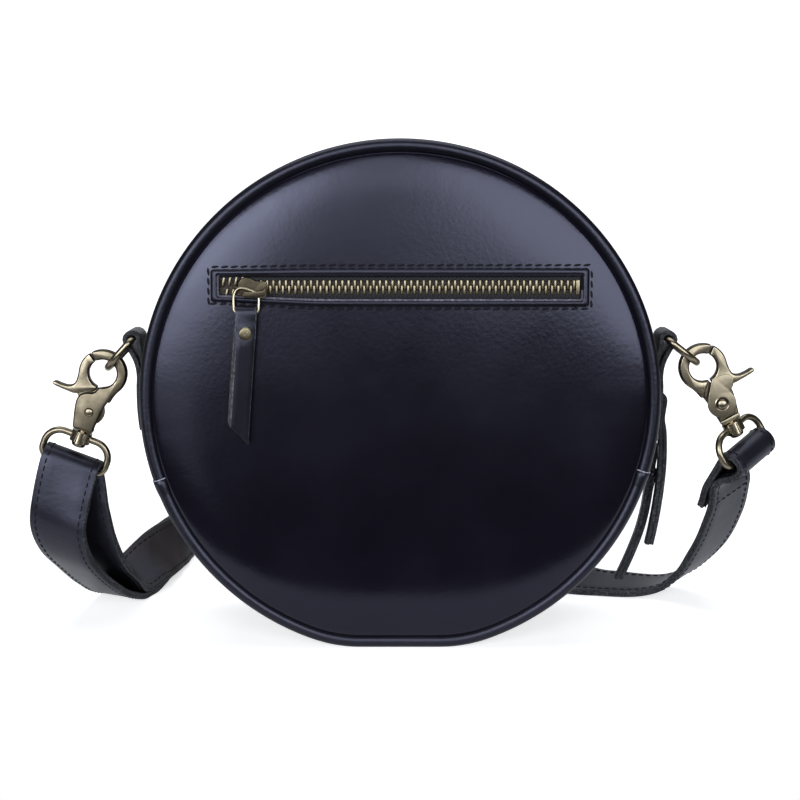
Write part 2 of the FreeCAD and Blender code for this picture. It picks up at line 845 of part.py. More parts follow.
rivet_place = Vector(pocket_place + tab_sway(rivet_drop), ring_foot, bar_height - rivet_drop)
rivet_radius = size("pull_rivet_radius")
rivet_hole = Part.makeCylinder(rivet_radius, 20.0, rivet_place - Vector(0, 10.0, 0), Vector(0, 1, 0))
add_shape("pocket_pull_tab", pull_tab.cut(trim).cut(rivet_hole))


def rivet_profile(shank, cap, half_length, cap_height):
    """Half profile of a rivet with a flat domed cap at each end, its axis upright."""
    return polygon(
        [
            (0.0, -half_length - cap_height),
            (cap * 0.7, -half_length - cap_height),
            (cap, -half_length - cap_height * 0.4),
            (cap, -half_length),
            (shank, -half_length),
            (shank, half_length),
            (cap, half_length),
            (cap, half_length + cap_height * 0.4),
            (cap * 0.7, half_length + cap_height),
            (0.0, half_length + cap_height),
        ]
    )


tab_stack = 2.0 * tab_layer + tab_thick + size("tape_gap")
pull_rivet = new_body("pocket_pull_rivet")
add_turned(
    pull_rivet,
    "PullRivetTurned",
    rivet_profile(rivet_radius, size("pull_rivet_cap"), tab_stack / 2.0, size("pull_rivet_radius") * 0.6),
)
pull_rivet.Placement = Placement(rivet_place, Rotation(Vector(1, 0, 0), 90.0))

# Side tabs, folded round the straight bars of the D-rings

tab_middle = size("tab_middle")
bar_distance = size("bag_radius") + size("tab_bar_reach")
bar_angle = size("tab_bar_angle")
ring_wire = size("ring_wire_radius")
side_thick = size("tab_thick")


def mirrored(stations, side):
    """Stations on the right (+1), or turned over to the left (-1)."""
    return [(Vector(side * middle.x, middle.y, middle.z), across) for middle, across in stations]


def side_tab(side):
    """Folded strip on the gusset: one layer up, a loop round the ring's bar, one layer down."""
    across = Vector(0, 1, 0)
    low = size("tab_end_angle")
    inner = size("bag_radius") + size("tab_gap") + side_thick / 2.0
    outer = inner + side_thick + size("tab_gap")
    bend = ring_wire + size("tab_loop_gap") + side_thick / 2.0
    bar = on_bag(bar_distance, bar_angle, tab_middle)
    neck = bar_angle - 5.0
    stations = [(on_bag(inner, low + (neck - 3.0 - low) * step / 5.0, tab_middle), across) for step in range(6)]
    stations.append((on_bag((inner + bar_distance - bend) / 2.0, neck + 1.0, tab_middle), across))
    for turn in range(180, -31, -30):
        stations.append((polar(bar.x, bar.z, bend, turn + bar_angle, tab_middle), across))
    stations.append((on_bag((outer + bar_distance + bend) / 2.0 - side_thick, neck + 0.5, tab_middle), across))
    stations.extend((on_bag(outer, low + (neck - 3.0 - low) * step / 5.0, tab_middle), across) for step in range(5, -1, -1))
    return ribbon(mirrored(stations, side), size("tab_width"), side_thick)


add_shape("left_tab", side_tab(-1))
add_shape("right_tab", side_tab(1))

ring_side = size("tab_width") / 2.0 + size("ring_side_gap") + ring_wire
ring_bow = ring_side


def d_ring(label, side, drop):
    """D-ring: a split straight bar in the tab, two short legs and a half-round bow."""
    depth = size("ring_depth")
    corner = size("ring_corner")
    split = size("ring_split") / 2.0
    root = math.sqrt(0.5)
    leg = -(depth - ring_bow)
    edges = [
        Part.makeLine(Vector(0, split, 0), Vector(0, ring_side - corner, 0)),
        Part.Arc(
            Vector(0, ring_side - corner, 0),
            Vector(0, ring_side - corner + corner * root, -corner + corner * root),
            Vector(0, ring_side, -corner),
        ).toShape(),
        Part.makeLine(Vector(0, ring_side, -corner), Vector(0, ring_side, leg)),
        Part.Arc(Vector(0, ring_side, leg), Vector(0, 0, leg - ring_bow), Vector(0, -ring_side, leg)).toShape(),
        Part.makeLine(Vector(0, -ring_side, leg), Vector(0, -ring_side, -corner)),
        Part.Arc(
            Vector(0, -ring_side, -corner),
            Vector(0, -ring_side + corner - corner * root, -corner + corner * root),
            Vector(0, -ring_side + corner, 0),
        ).toShape(),
        Part.makeLine(Vector(0, -ring_side + corner, 0), Vector(0, -split, 0)),
    ]
    piece = add_shape(label, tube(edges, ring_wire))
    bar = on_bag(bar_distance, bar_angle, tab_middle)
    swing = side * (drop - 90.0)
    piece.Placement = Placement(Vector(side * bar.x, bar.y, bar.z), Rotation(Vector(0, 1, 0), swing))


d_ring("left_d_ring", -1, size("left_ring_drop"))
d_ring("right_d_ring", 1, size("right_ring_drop"))

# Trigger hooks. In a hook's own frame Z runs up its stem, X is its width and Y its thickness.

eye = size("hook_eye_height")
foot = size("hook_foot_height")
pivot = size("hook_pivot_height")
eye_outer = size("hook_outer_radius")
eye_inner = size("hook_inner_radius")
eye_middle = (eye_outer + eye_inner) / 2.0
split_angle = size("gate_split_angle")
foot_half = size("hook_foot_half_width")
waist_half = size("hook_waist_half_width")
gate_end = split_angle + 92.0
body_end = -105.0


def eye_point(radius, angle):
    """Point on the hook's ring in its sketch."""
    turn = math.radians(angle)
    return (radius * math.cos(turn), eye + radius * math.sin(turn))


def hook_body(label):
    """Cast hook: most of the ring, a cheek in front of the gate, a foot and a stem with its knob."""
    body = new_body(label)
    ring = ring_sector(0.0, eye, eye_inner, eye_outer, body_end, split_angle)
    add_pad(body, label + "Ring", "XZ_Plane", ring, "-Sizes.hook_thick / 2", "Sizes.hook_thick")
    round_ring(body, label + "Round", eye)
    cheek = polygon(
        [
            (-foot_half, foot),
            (foot_half, foot),
            (waist_half, pivot),
            (eye_middle * 0.6, eye - eye_middle),
            eye_point(eye_middle, body_end + 2.0),
            (-waist_half, pivot + 2.5),
        ]
    )
    add_pad(body, label + "Cheek", "XZ_Plane", cheek, "0", "Sizes.hook_thick / 2")
    block_top = pivot - size("gate_disc_radius") - 0.8
    block = polygon([(-foot_half, foot), (foot_half, foot), (foot_half, block_top), (-foot_half, block_top)])
    add_pad(body, label + "Foot", "XZ_Plane", block, "-Sizes.hook_thick / 2", "Sizes.hook_thick")
    stem = size("stem_radius")
    knob = size("knob_radius")
    knob_top = size("knob_height")
    profile = polygon(
        [
            (0.0, foot + stem),
            (stem, foot + stem),
            (stem, knob_top),
            (knob, knob_top),
            (knob, knob_top * 0.5),
            (knob * 0.72, 0.0),
            (0.0, 0.0),
        ]
    )
    add_turned(body, label + "Stem", profile)
    hole = circle(0.0, pivot, size("pivot_radius"))
    add_pocket(body, label + "Hole", "XZ_Plane", hole, "Sizes.hook_thick", "2 * Sizes.hook_thick")
    return body


def hook_gate(label):
    """Gate: the rest of the ring, an arm to the pivot behind the cheek, and the thumb lever."""
    body = new_body(label)
    start = split_angle + size("gate_split_gap")
    sector = ring_sector(0.0, eye, eye_inner, eye_outer, start, gate_end)
    add_pad(body, label + "Ring", "XZ_Plane", sector, "-Sizes.hook_thick / 2", "Sizes.hook_thick")
    round_ring(body, label + "Round", eye)
    disc_radius = size("gate_disc_radius")
    arm = polygon(
        [
            (-disc_radius * 0.98, pivot),
            eye_point(eye_outer + 0.9, gate_end - 12.0),
            eye_point(eye_middle, gate_end - 8.0),
            eye_point(eye_middle, gate_end - 0.5),
            eye_point(eye_outer + 0.4, gate_end + 5.0),
            (disc_radius * 0.5, pivot + disc_radius * 0.8),
            (0.0, pivot),
        ]
    )
    behind = "-Sizes.hook_thick / 2"
    depth = "Sizes.hook_thick / 2 - Sizes.gate_gap"
    add_pad(body, label + "Arm", "XZ_Plane", arm, behind, depth)
    add_pad(body, label + "Disc", "XZ_Plane", circle(0.0, pivot, disc_radius), behind, depth)
    reach = size("lever_reach")
    low = eye - eye_outer - 1.4
    lever = polygon(
        [
            eye_point(eye_outer - 0.8, gate_end - 17.0),
            (-eye_outer * 0.95, low + 3.2),
            (-reach + 1.2, low + 2.6),
            (-reach, low + 1.3),
            (-reach + 1.0, low),
            (-eye_outer * 0.9, low),
            eye_point(eye_outer + 0.5, gate_end - 4.0),
        ]
    )
    add_pad(body, label + "Lever", "XZ_Plane", lever, "-Sizes.hook_thick * 0.4", "Sizes.hook_thick * 0.8")
    hole = circle(0.0, pivot, size("pivot_radius") + size("pivot_gap"))
    add_pocket(body, label + "Hole", "XZ_Plane", hole, "Sizes.hook_thick", "2 * Sizes.hook_thick")
    well = circle(0.0, pivot, size("spring_radius") + 3.0 * size("spring_wire_radius"))
    add_pocket(body, label + "Well", "XZ_Plane", well, "0", "Sizes.gate_gap + Sizes.spring_well")
    return body


def gate_spring():
    """Open coil of wire in the well round the pivot."""
    radius = size("spring_radius")
    depth = size("gate_gap") + size("spring_well") / 2.0
    return tube([arc_edge(0.0, pivot, radius, -150.0, 150.0, depth)], size("spring_wire_radius"))


def strap_loop():
    """Strap loop: a collar on the stem and a bent wire whose low bar carries the strap."""
    low = size("knob_height") + size("collar_end_gap")
    high = foot - size("collar_end_gap")
    collar_radius = size("collar_radius")
    collar = Part.makeCylinder(collar_radius, high - low, Vector(0, 0, low))
    level = (low + high) / 2.0
    half = size("loop_half_width")
    top_corner = size("loop_top_corner")
    low_corner = size("loop_low_corner")
    bar = level - size("loop_drop")
    root = math.sqrt(0.5)
    right = [
        Part.makeLine(Vector(collar_radius * 0.7, 0, level), Vector(half - top_corner, 0, level)),
        Part.Arc(
            Vector(half - top_corner, 0, level),
            Vector(half - top_corner + top_corner * root, 0, level - top_corner + top_corner * root),
            Vector(half, 0, level - top_corner),
        ).toShape(),
        Part.makeLine(Vector(half, 0, level - top_corner), Vector(half, 0, bar + low_corner)),
        Part.Arc(
            Vector(half, 0, bar + low_corner),
            Vector(half - low_corner + low_corner * root, 0, bar + low_corner - low_corner * root),
            Vector(half - low_corner, 0, bar),
        ).toShape(),
    ]
    left = [edge.mirror(Vector(0, 0, 0), Vector(1, 0, 0)) for edge in reversed(right)]
    bottom = [Part.makeLine(Vector(half - low_corner, 0, bar), Vector(low_corner - half, 0, bar))]
    wire_solid = tube(right + bottom + left, size("loop_wire_radius"))
    bore = Part.makeCylinder(size("stem_radius") + size("stem_gap"), high - low + 2.0, Vector(0, 0, low - 1.0))
    return collar.fuse(wire_solid).cut(bore).removeSplitter()


def hook_frame(side, drop, lean):
    """Place of a hook's own frame: its eye hangs in the D-ring, its stem leans towards the bag."""
    bar = on_bag(bar_distance, bar_angle, tab_middle)
    fall = math.radians(drop)
    reach = size("hook_reach")
    middle = Vector(side * (bar.x + reach * math.cos(fall)), bar.y, bar.z - reach * math.sin(fall))
    turn = Rotation(Vector(0, 1, 0), -side * lean)
    knob = middle - turn.multVec(Vector(0, 0, eye))
    return Placement(knob, turn)


def make_hook(name, side, drop, lean, loop_turn):
    """All pieces of one hook, put in place together."""
    frame = hook_frame(side, drop, lean)
    turned = frame.multiply(Placement(Vector(), Rotation(Vector(0, 0, 1), 180.0 if side > 0 else 0.0)))
    hook_body(name + "_hook_body").Placement = turned
    hook_gate(name + "_hook_gate").Placement = turned
    rivet = new_body(name + "_gate_rivet")
    profile = rivet_profile(
        size("pivot_radius"), size("pivot_cap_radius"), size("hook_thick") / 2.0, size("pivot_cap_height")
    )
    add_turned(rivet, name + "RivetTurned", profile)
    rivet.Placement = turned.multiply(Placement(Vector(0, 0, pivot), Rotation(Vector(1, 0, 0), 90.0)))
    add_shape(name + "_gate_spring", gate_spring()).Placement = turned
    loop_place = frame.multiply(Placement(Vector(), Rotation(Vector(0, 0, 1), loop_turn)))
    add_shape(name + "_strap_loop", strap_loop()).Placement = loop_place
    return loop_place


left_loop = make_hook("left", -1, size("left_ring_drop"), size("left_hook_lean"), 0.0)
right_loop = make_hook("right", 1, size("right_ring_drop"), size("right_hook_lean"), size("right_loop_turn"))

# Strap. It runs from the slide to the left loop, back under itself through the slide, in folds on its
# edge behind the bag, and flat along the floor to the right loop.

strap_width = size("strap_width")
strap_thick = size("strap_thick")
collar_level = (size("knob_height") + size("collar_end_gap") + foot - size("collar_end_gap")) / 2.0
bar_level = collar_level - size("loop_drop")
fold = size("loop_wire_radius") + size("strap_loop_gap") + strap_thick / 2.0
layer = strap_thick + size("strap_layer_gap")


def floor_station(x, y, heading, tilt):
    """Strap on the floor: a heading seen from above, and its tilt from flat (0) to on edge (90)."""
    course = math.radians(heading)
    lean = math.radians(tilt)
    right = Vector(math.sin(course), -math.cos(course), 0)
    across = right * math.cos(lean) - Vector(0, 0, math.sin(lean))
    height = strap_width / 2.0 * math.sin(lean) + strap_thick / 2.0 * math.cos(lean) + size("strap_floor_gap")
    return (Vector(x, y, height), across)


def floor_turn(x, y, radius, start, end, clockwise):
    """Stations of a bend on edge round a middle point, from one angle to another."""
    count = max(2, int(abs(end - start) / 15.0))
    stations = []
    for step in range(count + 1):
        angle = start + (end - start) * step / count
        turn = math.radians(angle)
        heading = angle - 90.0 if clockwise else angle + 90.0
        stations.append(floor_station(x + radius * math.cos(turn), y + radius * math.sin(turn), heading, 90.0))
    return stations


def fold_stations(place, start, end):
    """Stations of the strap bent over a loop's bar, in the loop's frame, from one angle to another."""
    stations = []
    count = max(3, int(abs(end - start) / 30.0))
    for step in range(count + 1):
        turn = math.radians(start + (end - start) * step / count)
        middle = Vector(0, -fold * math.cos(turn), bar_level + fold * math.sin(turn))
        stations.append((place.multVec(middle), place.Rotation.multVec(Vector(1, 0, 0))))
    return stations


def hanging(bar, x, y, share, across):
    """Strap in the air: a step sideways from a loop's bar, and a share of the bar's height."""
    return (Vector(bar.x + x, bar.y + y, bar.z * share), Vector(*across))


left_bar = left_loop.multVec(Vector(0, 0, bar_level))
right_bar = right_loop.multVec(Vector(0, 0, bar_level))
turn_radius = size("strap_turn_radius")
first_radius = size("strap_first_turn_radius")
slide_place = size("slide_place")
slide_pitch = size("slide_pitch")
slide_bar = size("slide_bar_radius")
slide_lift = 2.0 * slide_bar + size("slide_gap")
fold_row = size("strap_back_row")
middle_row = fold_row - 2.0 * turn_radius
near_row = middle_row - 2.0 * turn_radius


def raised(station, share):
    """Station lifted by a share of the slide's rim, which stands on the floor."""
    return (station[0] + Vector(0, 0, slide_lift * share), station[1])


left_run = [
    floor_station(left_bar.x + 12.8, 43.0, 74.0, 3.0),
    floor_station(left_bar.x + 17.8, 56.0, 70.0, 28.0),
    floor_station(left_bar.x + 22.3, 71.0, 74.0, 58.0),
    floor_station(left_bar.x + 26.3, 90.0, 80.0, 72.0),
    floor_station(left_bar.x + 28.8, 107.0, 86.0, 82.0),
]
first_turn = floor_turn(left_bar.x + 58.3, fold_row - first_radius, first_radius, 180.0, 90.0, True)
past_turn = raised(floor_station(slide_place - slide_pitch - 14.0, fold_row, 0.0, 90.0), 0.5)
slide_side = Vector(0, 1, 0)
slide_level = strap_width / 2.0 + size("strap_floor_gap")
bar_clear = slide_bar + size("slide_gap")
slide_offset = bar_clear + strap_thick / 2.0
slide_axis = Vector(slide_place, fold_row + slide_offset, slide_level + slide_lift)
over_bar = bar_clear + strap_thick + size("slide_gap") + strap_thick / 2.0
through_slide = []
for share, offset in ((-1.0, 0.0), (-0.72, 0.1), (-0.4, 0.62), (0.0, 1.0), (0.4, 0.62), (0.72, 0.1), (1.0, 0.0)):
    station = raised(floor_station(slide_place + share * slide_pitch, fold_row, 0.0, 90.0), 1.0)
    through_slide.append((station[0] + slide_side * (offset * (slide_offset + over_bar)), station[1]))
back_runs = (
    [raised(floor_station(slide_place + slide_pitch + 12.0, fold_row, 0.0, 90.0), 0.5)]
    + [floor_station(slide_place + 50.0, fold_row, 0.0, 90.0)]
    + floor_turn(48.0, fold_row - turn_radius, turn_radius, 90.0, -90.0, True)
    + [floor_station(10.0, middle_row, 180.0, 90.0)]
    + floor_turn(-38.0, middle_row - turn_radius, turn_radius, 90.0, 270.0, False)
)
right_run = [
    floor_station(-16.0, near_row, 0.0, 90.0),
    floor_station(8.0, near_row - 0.3, -1.0, 78.0),
    floor_station(32.0, near_row - 1.2, -4.0, 54.0),
    floor_station(56.0, near_row - 3.2, -8.0, 32.0),
    floor_station(80.0, near_row - 7.0, -12.0, 16.0),
    floor_station(98.0, near_row - 11.0, -15.0, 8.0),
]

left_outer = [
    hanging(left_bar, -3.3, -6.4, 0.803, (0.94, -0.1, -0.32)),
    hanging(left_bar, -5.1, -6.0, 0.637, (0.94, -0.16, -0.28)),
    hanging(left_bar, -3.3, 0.0, 0.464, (0.94, -0.22, -0.24)),
    hanging(left_bar, 0.9, 11.0, 0.313, (0.93, -0.28, -0.2)),
    hanging(left_bar, 5.9, 25.0, 0.166, (0.93, -0.33, -0.12)),
    hanging(left_bar, 9.9, 39.0, 0.066, (0.95, -0.3, -0.07)),
]
left_inner = [
    hanging(left_bar, 13.9, 46.5, 0.119, (0.95, -0.3, -0.1)),
    hanging(left_bar, 11.7, 32.0, 0.216, (0.93, -0.33, -0.12)),
    hanging(left_bar, 8.5, 19.0, 0.354, (0.93, -0.28, -0.18)),
    hanging(left_bar, 5.3, 10.0, 0.526, (0.94, -0.18, -0.24)),
    hanging(left_bar, 2.7, 5.8, 0.706, (0.94, -0.08, -0.3)),
    hanging(left_bar, 1.3, 4.6, 0.858, (0.935, 0.0, -0.35)),
]
right_rise = [
    hanging(right_bar, -25.8, 54.0, 0.06, (-0.5, -0.86, -0.05)),
    hanging(right_bar, -14.6, 47.0, 0.173, (-0.72, -0.66, -0.2)),
    hanging(right_bar, -7.4, 37.0, 0.356, (-0.83, -0.42, -0.36)),
    hanging(right_bar, -4.0, 27.0, 0.544, (-0.82, -0.42, -0.4)),
    hanging(right_bar, -3.0, 17.5, 0.738, (-0.77, -0.52, -0.37)),
]


def beside(stations, step):
    """The same run moved sideways onto the strap's inner face."""
    moved = []
    last = len(stations) - 1
    for index, (middle, across) in enumerate(stations):
        along = stations[min(index + 1, last)][0] - stations[max(index - 1, 0)][0]
        moved.append((middle + across.cross(along).normalize() * step, across))
    return moved


tail_run = beside(left_run + first_turn + [past_turn], layer)
tail_bend = bar_clear + strap_thick / 2.0
edge_down = Vector(0, 0, -1)
tail_wrap = []
for angle in (165, 135, 100, 65, 30, 0):
    turn = math.radians(angle)
    tail_wrap.append((slide_axis + Vector(tail_bend * math.sin(turn), -tail_bend * math.cos(turn), 0), edge_down))
tail_lead = [(Vector(slide_place - slide_pitch, fold_row - layer * 0.95, slide_level + slide_lift), edge_down)]

fold_turn = size("right_fold_turn")
fold_lean = math.radians(fold_turn)
right_down = right_loop.Rotation.multVec(Vector(0, math.sin(fold_lean), -math.cos(fold_lean)))
to_main = right_loop.Rotation.multVec(Vector(0, -math.cos(fold_lean), -math.sin(fold_lean)))
right_across = right_loop.Rotation.multVec(Vector(-1, 0, 0))
right_fold = [
    (middle, right_across) for middle, across in fold_stations(right_loop, -fold_turn, 180.0 - fold_turn)
]
closing = 2.0 * fold - layer
right_neck = []
for drop, closed in ((18.0, 1.0), (11.0, 0.78), (5.5, 0.24)):
    right_neck.append((right_bar + right_down * drop + to_main * (fold - closing * closed), right_across))
right_tail = []
for share in (0.25, 0.5, 0.75, 1.0):
    drop = size("strap_tail_length") * share
    right_tail.append((right_bar + right_down * drop - to_main * fold, right_across))

strap_stations = (
    tail_wrap
    + tail_lead
    + list(reversed(tail_run))
    + left_inner
    + list(reversed(fold_stations(left_loop, 0.0, 180.0)))
    + left_outer
    + left_run
    + first_turn
    + [past_turn]
    + through_slide
    + back_runs
    + right_run
    + right_rise
    + right_neck
    + right_fold
    + right_tail
)
add_shape("strap", ribbon(strap_stations, strap_width, strap_thick))
strap_length = sum(
    (after[0] - before[0]).Length for before, after in zip(strap_stations[:-1], strap_stations[1:])
)
print(f"strap leather {strap_length:.0f} mm")

# Strap slide: a flat frame with a middle bar, standing on edge round the doubled strap

slide_half = slide_level - size("strap_floor_gap") + slide_bar + size("slide_gap")
frame_middle = slide_axis
frame_corners = [
    frame_middle + Vector(slide_pitch, 0, -slide_half),
    frame_middle + Vector(-slide_pitch, 0, -slide_half),
    frame_middle + Vector(-slide_pitch, 0, slide_half),
    frame_middle + Vector(slide_pitch, 0, slide_half),
]
frame_edges = rounded_frame(frame_corners, 2.0 * slide_bar, 0.0)
low_half = tube(frame_edges[:4], slide_bar)
high_half = tube(frame_edges[4:], slide_bar)
middle_bar = Part.makeCylinder(slide_bar, 2.0 * slide_half, frame_middle - Vector(0, 0, slide_half))
add_shape("strap_slide", low_half.fuse([high_half, middle_bar]).removeSplitter())

# Build everything, make sure that it is sound, and write the pieces

doc.recompute()
os.makedirs("parts", exist_ok=True)
for item in doc.Objects:
    if "Invalid" in item.State or "Error" in item.State:
        raise RuntimeError(f"{item.Label} failed: {item.State}")
for piece in pieces:
    if piece.Shape.isNull() or not piece.Shape.isValid():
        raise RuntimeError(f"{piece.Label} has no valid shape")
for piece in pieces:
    piece.Shape.exportStep(f"parts/{piece.Label}.step")
print(f"{len(pieces)} pieces")
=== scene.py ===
"""Looks of a round leather crossbody bag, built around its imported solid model."""

import json
import logging
import math
from contextlib import contextmanager
from dataclasses import dataclass
from enum import Enum
from typing import Iterable, Iterator, Sequence

import bmesh
import bpy
from mathutils import Matrix, Vector, noise

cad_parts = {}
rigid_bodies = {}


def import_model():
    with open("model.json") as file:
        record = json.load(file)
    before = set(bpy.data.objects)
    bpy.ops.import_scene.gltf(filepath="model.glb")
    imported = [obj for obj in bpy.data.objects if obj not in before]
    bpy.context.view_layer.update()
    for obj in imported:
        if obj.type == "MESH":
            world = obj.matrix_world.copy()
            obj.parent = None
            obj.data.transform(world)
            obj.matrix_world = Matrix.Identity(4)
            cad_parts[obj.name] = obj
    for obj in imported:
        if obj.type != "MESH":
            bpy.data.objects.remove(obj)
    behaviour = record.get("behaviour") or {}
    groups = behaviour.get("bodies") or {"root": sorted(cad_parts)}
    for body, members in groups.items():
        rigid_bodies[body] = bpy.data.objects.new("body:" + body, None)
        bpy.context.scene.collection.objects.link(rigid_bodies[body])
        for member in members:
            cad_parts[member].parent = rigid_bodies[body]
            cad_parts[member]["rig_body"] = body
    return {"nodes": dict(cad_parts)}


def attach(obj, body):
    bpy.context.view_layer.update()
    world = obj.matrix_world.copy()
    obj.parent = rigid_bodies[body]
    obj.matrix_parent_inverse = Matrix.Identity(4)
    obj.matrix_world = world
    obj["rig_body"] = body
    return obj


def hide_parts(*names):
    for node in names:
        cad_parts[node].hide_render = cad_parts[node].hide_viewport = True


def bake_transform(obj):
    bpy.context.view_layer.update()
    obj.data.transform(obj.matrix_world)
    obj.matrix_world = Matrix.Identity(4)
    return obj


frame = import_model()
log = logging.getLogger("circle_bag")
MM = 0.001
AWAY = Vector((0.0, 1.0, 0.0))
UP = Vector((0.0, 0.0, 1.0))

Piece = bpy.types.Object
Material = bpy.types.Material
Tree = bpy.types.NodeTree
Node = bpy.types.Node
Socket = bpy.types.NodeSocket
FourNumbers = tuple[float, float, float, float]
Colour = FourNumbers
Flat = tuple[float, float]
Station = tuple[Vector, Vector]


class Side(Enum):
    """The two faces of the bag along Y."""

    POCKET = -1
    PLAIN = 1


class Part(Enum):
    """Surfaces of a leather strip, each with a finish of its own."""

    FACE = 0
    EDGE = 1
    BACK = 2


def deselect() -> None:
    """Leave edit mode and select nothing."""
    if bpy.context.mode != "OBJECT":
        bpy.ops.object.mode_set(mode="OBJECT")
    bpy.ops.object.select_all(action="DESELECT")


def activate(piece: Piece) -> None:
    """Select one object alone and make it the active one.

    Args:
        piece: The object.
    """
    deselect()
    piece.select_set(True)
    bpy.context.view_layer.objects.active = piece


def settle(piece: Piece) -> Piece:
    """Move a piece's place, turn and scale into its mesh.

    Args:
        piece: The object to settle.

    Returns:
        The same object, at the origin.
    """
    activate(piece)
    bpy.ops.object.transform_apply(location=True, rotation=True, scale=True)
    return piece


def apply_modifiers(piece: Piece) -> None:
    """Apply every modifier of a piece in order.

    Args:
        piece: The object.
    """
    activate(piece)
    for modifier in list(piece.modifiers):
        bpy.ops.object.modifier_apply(modifier=modifier.name)


def smooth(piece: Piece, angle: float = 40.0) -> None:
    """Shade a piece smooth, with edges sharper than an angle left crisp."""
    activate(piece)
    bpy.ops.object.shade_smooth_by_angle(angle=math.radians(angle))


@contextmanager
def editing(piece: Piece) -> Iterator[None]:
    """Open a piece's whole mesh for editing, and close it afterwards.

    Args:
        piece: The object to edit.

    Returns:
        Nothing, while the mesh is open.
    """
    activate(piece)
    bpy.ops.object.mode_set(mode="EDIT")
    bpy.ops.mesh.select_all(action="SELECT")
    yield
    bpy.ops.object.mode_set(mode="OBJECT")


def turn_outwards(piece: Piece) -> None:
    """Make all faces of a closed piece point outwards."""
    with editing(piece):
        bpy.ops.mesh.normals_make_consistent(inside=False)


def linked(name: str, data: bpy.types.ID) -> Piece:
    """New object of the scene that shows a mesh, a lamp or a camera.

    Args:
        name: Name of the object.
        data: What it shows.

    Returns:
        The object.
    """
    piece = bpy.data.objects.new(name, data)
    bpy.context.scene.collection.objects.link(piece)
    return piece


def loft(
    name: str, sections: Sequence[Sequence[Vector]], parts: Sequence[Part] = (), ring: bool = False
) -> Piece:
    """Skin a run of closed sections.

    Args:
        name: Name of the piece.
        sections: Closed loops of points in millimetres, all with the same count.
        parts: Finish of each side of the section, between raw ends. Without them the piece has one finish.
        ring: Whether the last section joins the first.

    Returns:
        The closed piece.
    """
    count = len(sections[0])
    rows = len(sections) if ring else len(sections) - 1
    points = [point for section in sections for point in section]
    faces = []
    for row in range(rows):
        here = row * count
        there = (row + 1) % len(sections) * count
        for side in range(count):
            following = (side + 1) % count
            faces.append((here + side, here + following, there + following, there + side))
    finish = [part.value for part in parts or [Part.FACE] * count] * rows
    if not ring:
        faces.append(tuple(range(count))[::-1])
        faces.append(tuple(range(len(points) - count, len(points))))
        finish += [Part.EDGE.value if parts else Part.FACE.value] * 2
    mesh = bpy.data.meshes.new(name)
    mesh.from_pydata([tuple(point * MM) for point in points], [], faces)
    mesh.update()
    mesh.polygons.foreach_set("material_index", finish)
    piece = linked(name, mesh)
    turn_outwards(piece)
    return piece


def join(name: str, pieces: Sequence[Piece]) -> Piece:
    """Join several objects into one.

    Args:
        name: Name of the joined piece.
        pieces: The objects, of which none is left apart.

    Returns:
        The joined piece.
    """
    deselect()
    for piece in pieces:
        piece.select_set(True)
    bpy.context.view_layer.objects.active = pieces[0]
    if len(pieces) > 1:
        bpy.ops.object.join()
    pieces[0].name = name
    pieces[0].data.name = name
    return pieces[0]


def copies(name: str, model: Piece, places: Sequence[Matrix]) -> Piece:
    """Repeat one small model at many places in one mesh, and remove the model.

    Args:
        name: Name of the piece.
        model: Object whose mesh is repeated, modelled round the origin in metres.
        places: Where each copy goes, in metres.

    Returns:
        The piece with all copies.
    """
    mesh = bpy.data.meshes.new(name)
    shape = bmesh.new()
    for place in places:
        start = len(shape.verts)
        shape.from_mesh(model.data)
        shape.verts.ensure_lookup_table()
        bmesh.ops.transform(shape, matrix=place, verts=shape.verts[start:])
    shape.to_mesh(mesh)
    shape.free()
    for polygon in mesh.polygons:
        polygon.use_smooth = True
    bpy.data.objects.remove(model)
    return linked(name, mesh)


def frame_matrix(place: Vector, along: Vector, up: Vector) -> Matrix:
    """Place whose X runs along a direction and whose Z points up from a surface.

    Args:
        place: Origin in millimetres.
        along: Direction of X.
        up: Rough direction of Z.

    Returns:
        The matrix, in metres.
    """
    first = along.normalized()
    third = (up - first * up.dot(first)).normalized()
    second = third.cross(first)
    turn = Matrix((first, second, third)).transposed().to_4x4()
    return Matrix.Translation(place * MM) @ turn


def hoop(name: str, line: Sequence[Vector]) -> Piece:
    """Closed line through points in millimetres, as a mesh without faces.

    Args:
        name: Name of the piece.
        line: Its points.

    Returns:
        The line as an object.
    """
    deselect()
    bpy.ops.mesh.primitive_circle_add(vertices=len(line))
    piece = bpy.context.active_object
    piece.name = name
    for vertex, point in zip(piece.data.vertices, line):
        vertex.co = point * MM
    return piece


def tube(name: str, line: Sequence[Vector], radius: float, fineness: int) -> Piece:
    """Round cord along a closed line.

    Args:
        name: Name of the piece.
        line: Points in millimetres.
        radius: Half its thickness in millimetres.
        fineness: How finely its section is divided.

    Returns:
        The cord.
    """
    piece = hoop(name, line)
    bpy.ops.object.convert(target="CURVE")
    piece.data.bevel_depth = radius * MM
    piece.data.bevel_resolution = fineness
    bpy.ops.object.convert(target="MESH")
    turn_outwards(piece)
    smooth(piece, 60.0)
    return piece


def block(name: str, size: Vector, place: Vector, rounding: float = 0.0, segments: int = 1) -> Piece:
    """Box whose edges may be rounded.

    Args:
        name: Name of the piece.
        size: Its lengths in millimetres.
        place: Its middle in millimetres.
        rounding: Width of the rounding in millimetres, or 0 for none.
        segments: How finely the rounding is divided.

    Returns:
        The box.
    """
    deselect()
    bpy.ops.mesh.primitive_cube_add(size=1.0, location=tuple(place * MM))
    piece = bpy.context.active_object
    piece.name = name
    piece.scale = size * MM
    settle(piece)
    if rounding > 0.0:
        with editing(piece):
            bpy.ops.mesh.bevel(offset=rounding * MM, segments=segments, affect="EDGES")
    return piece


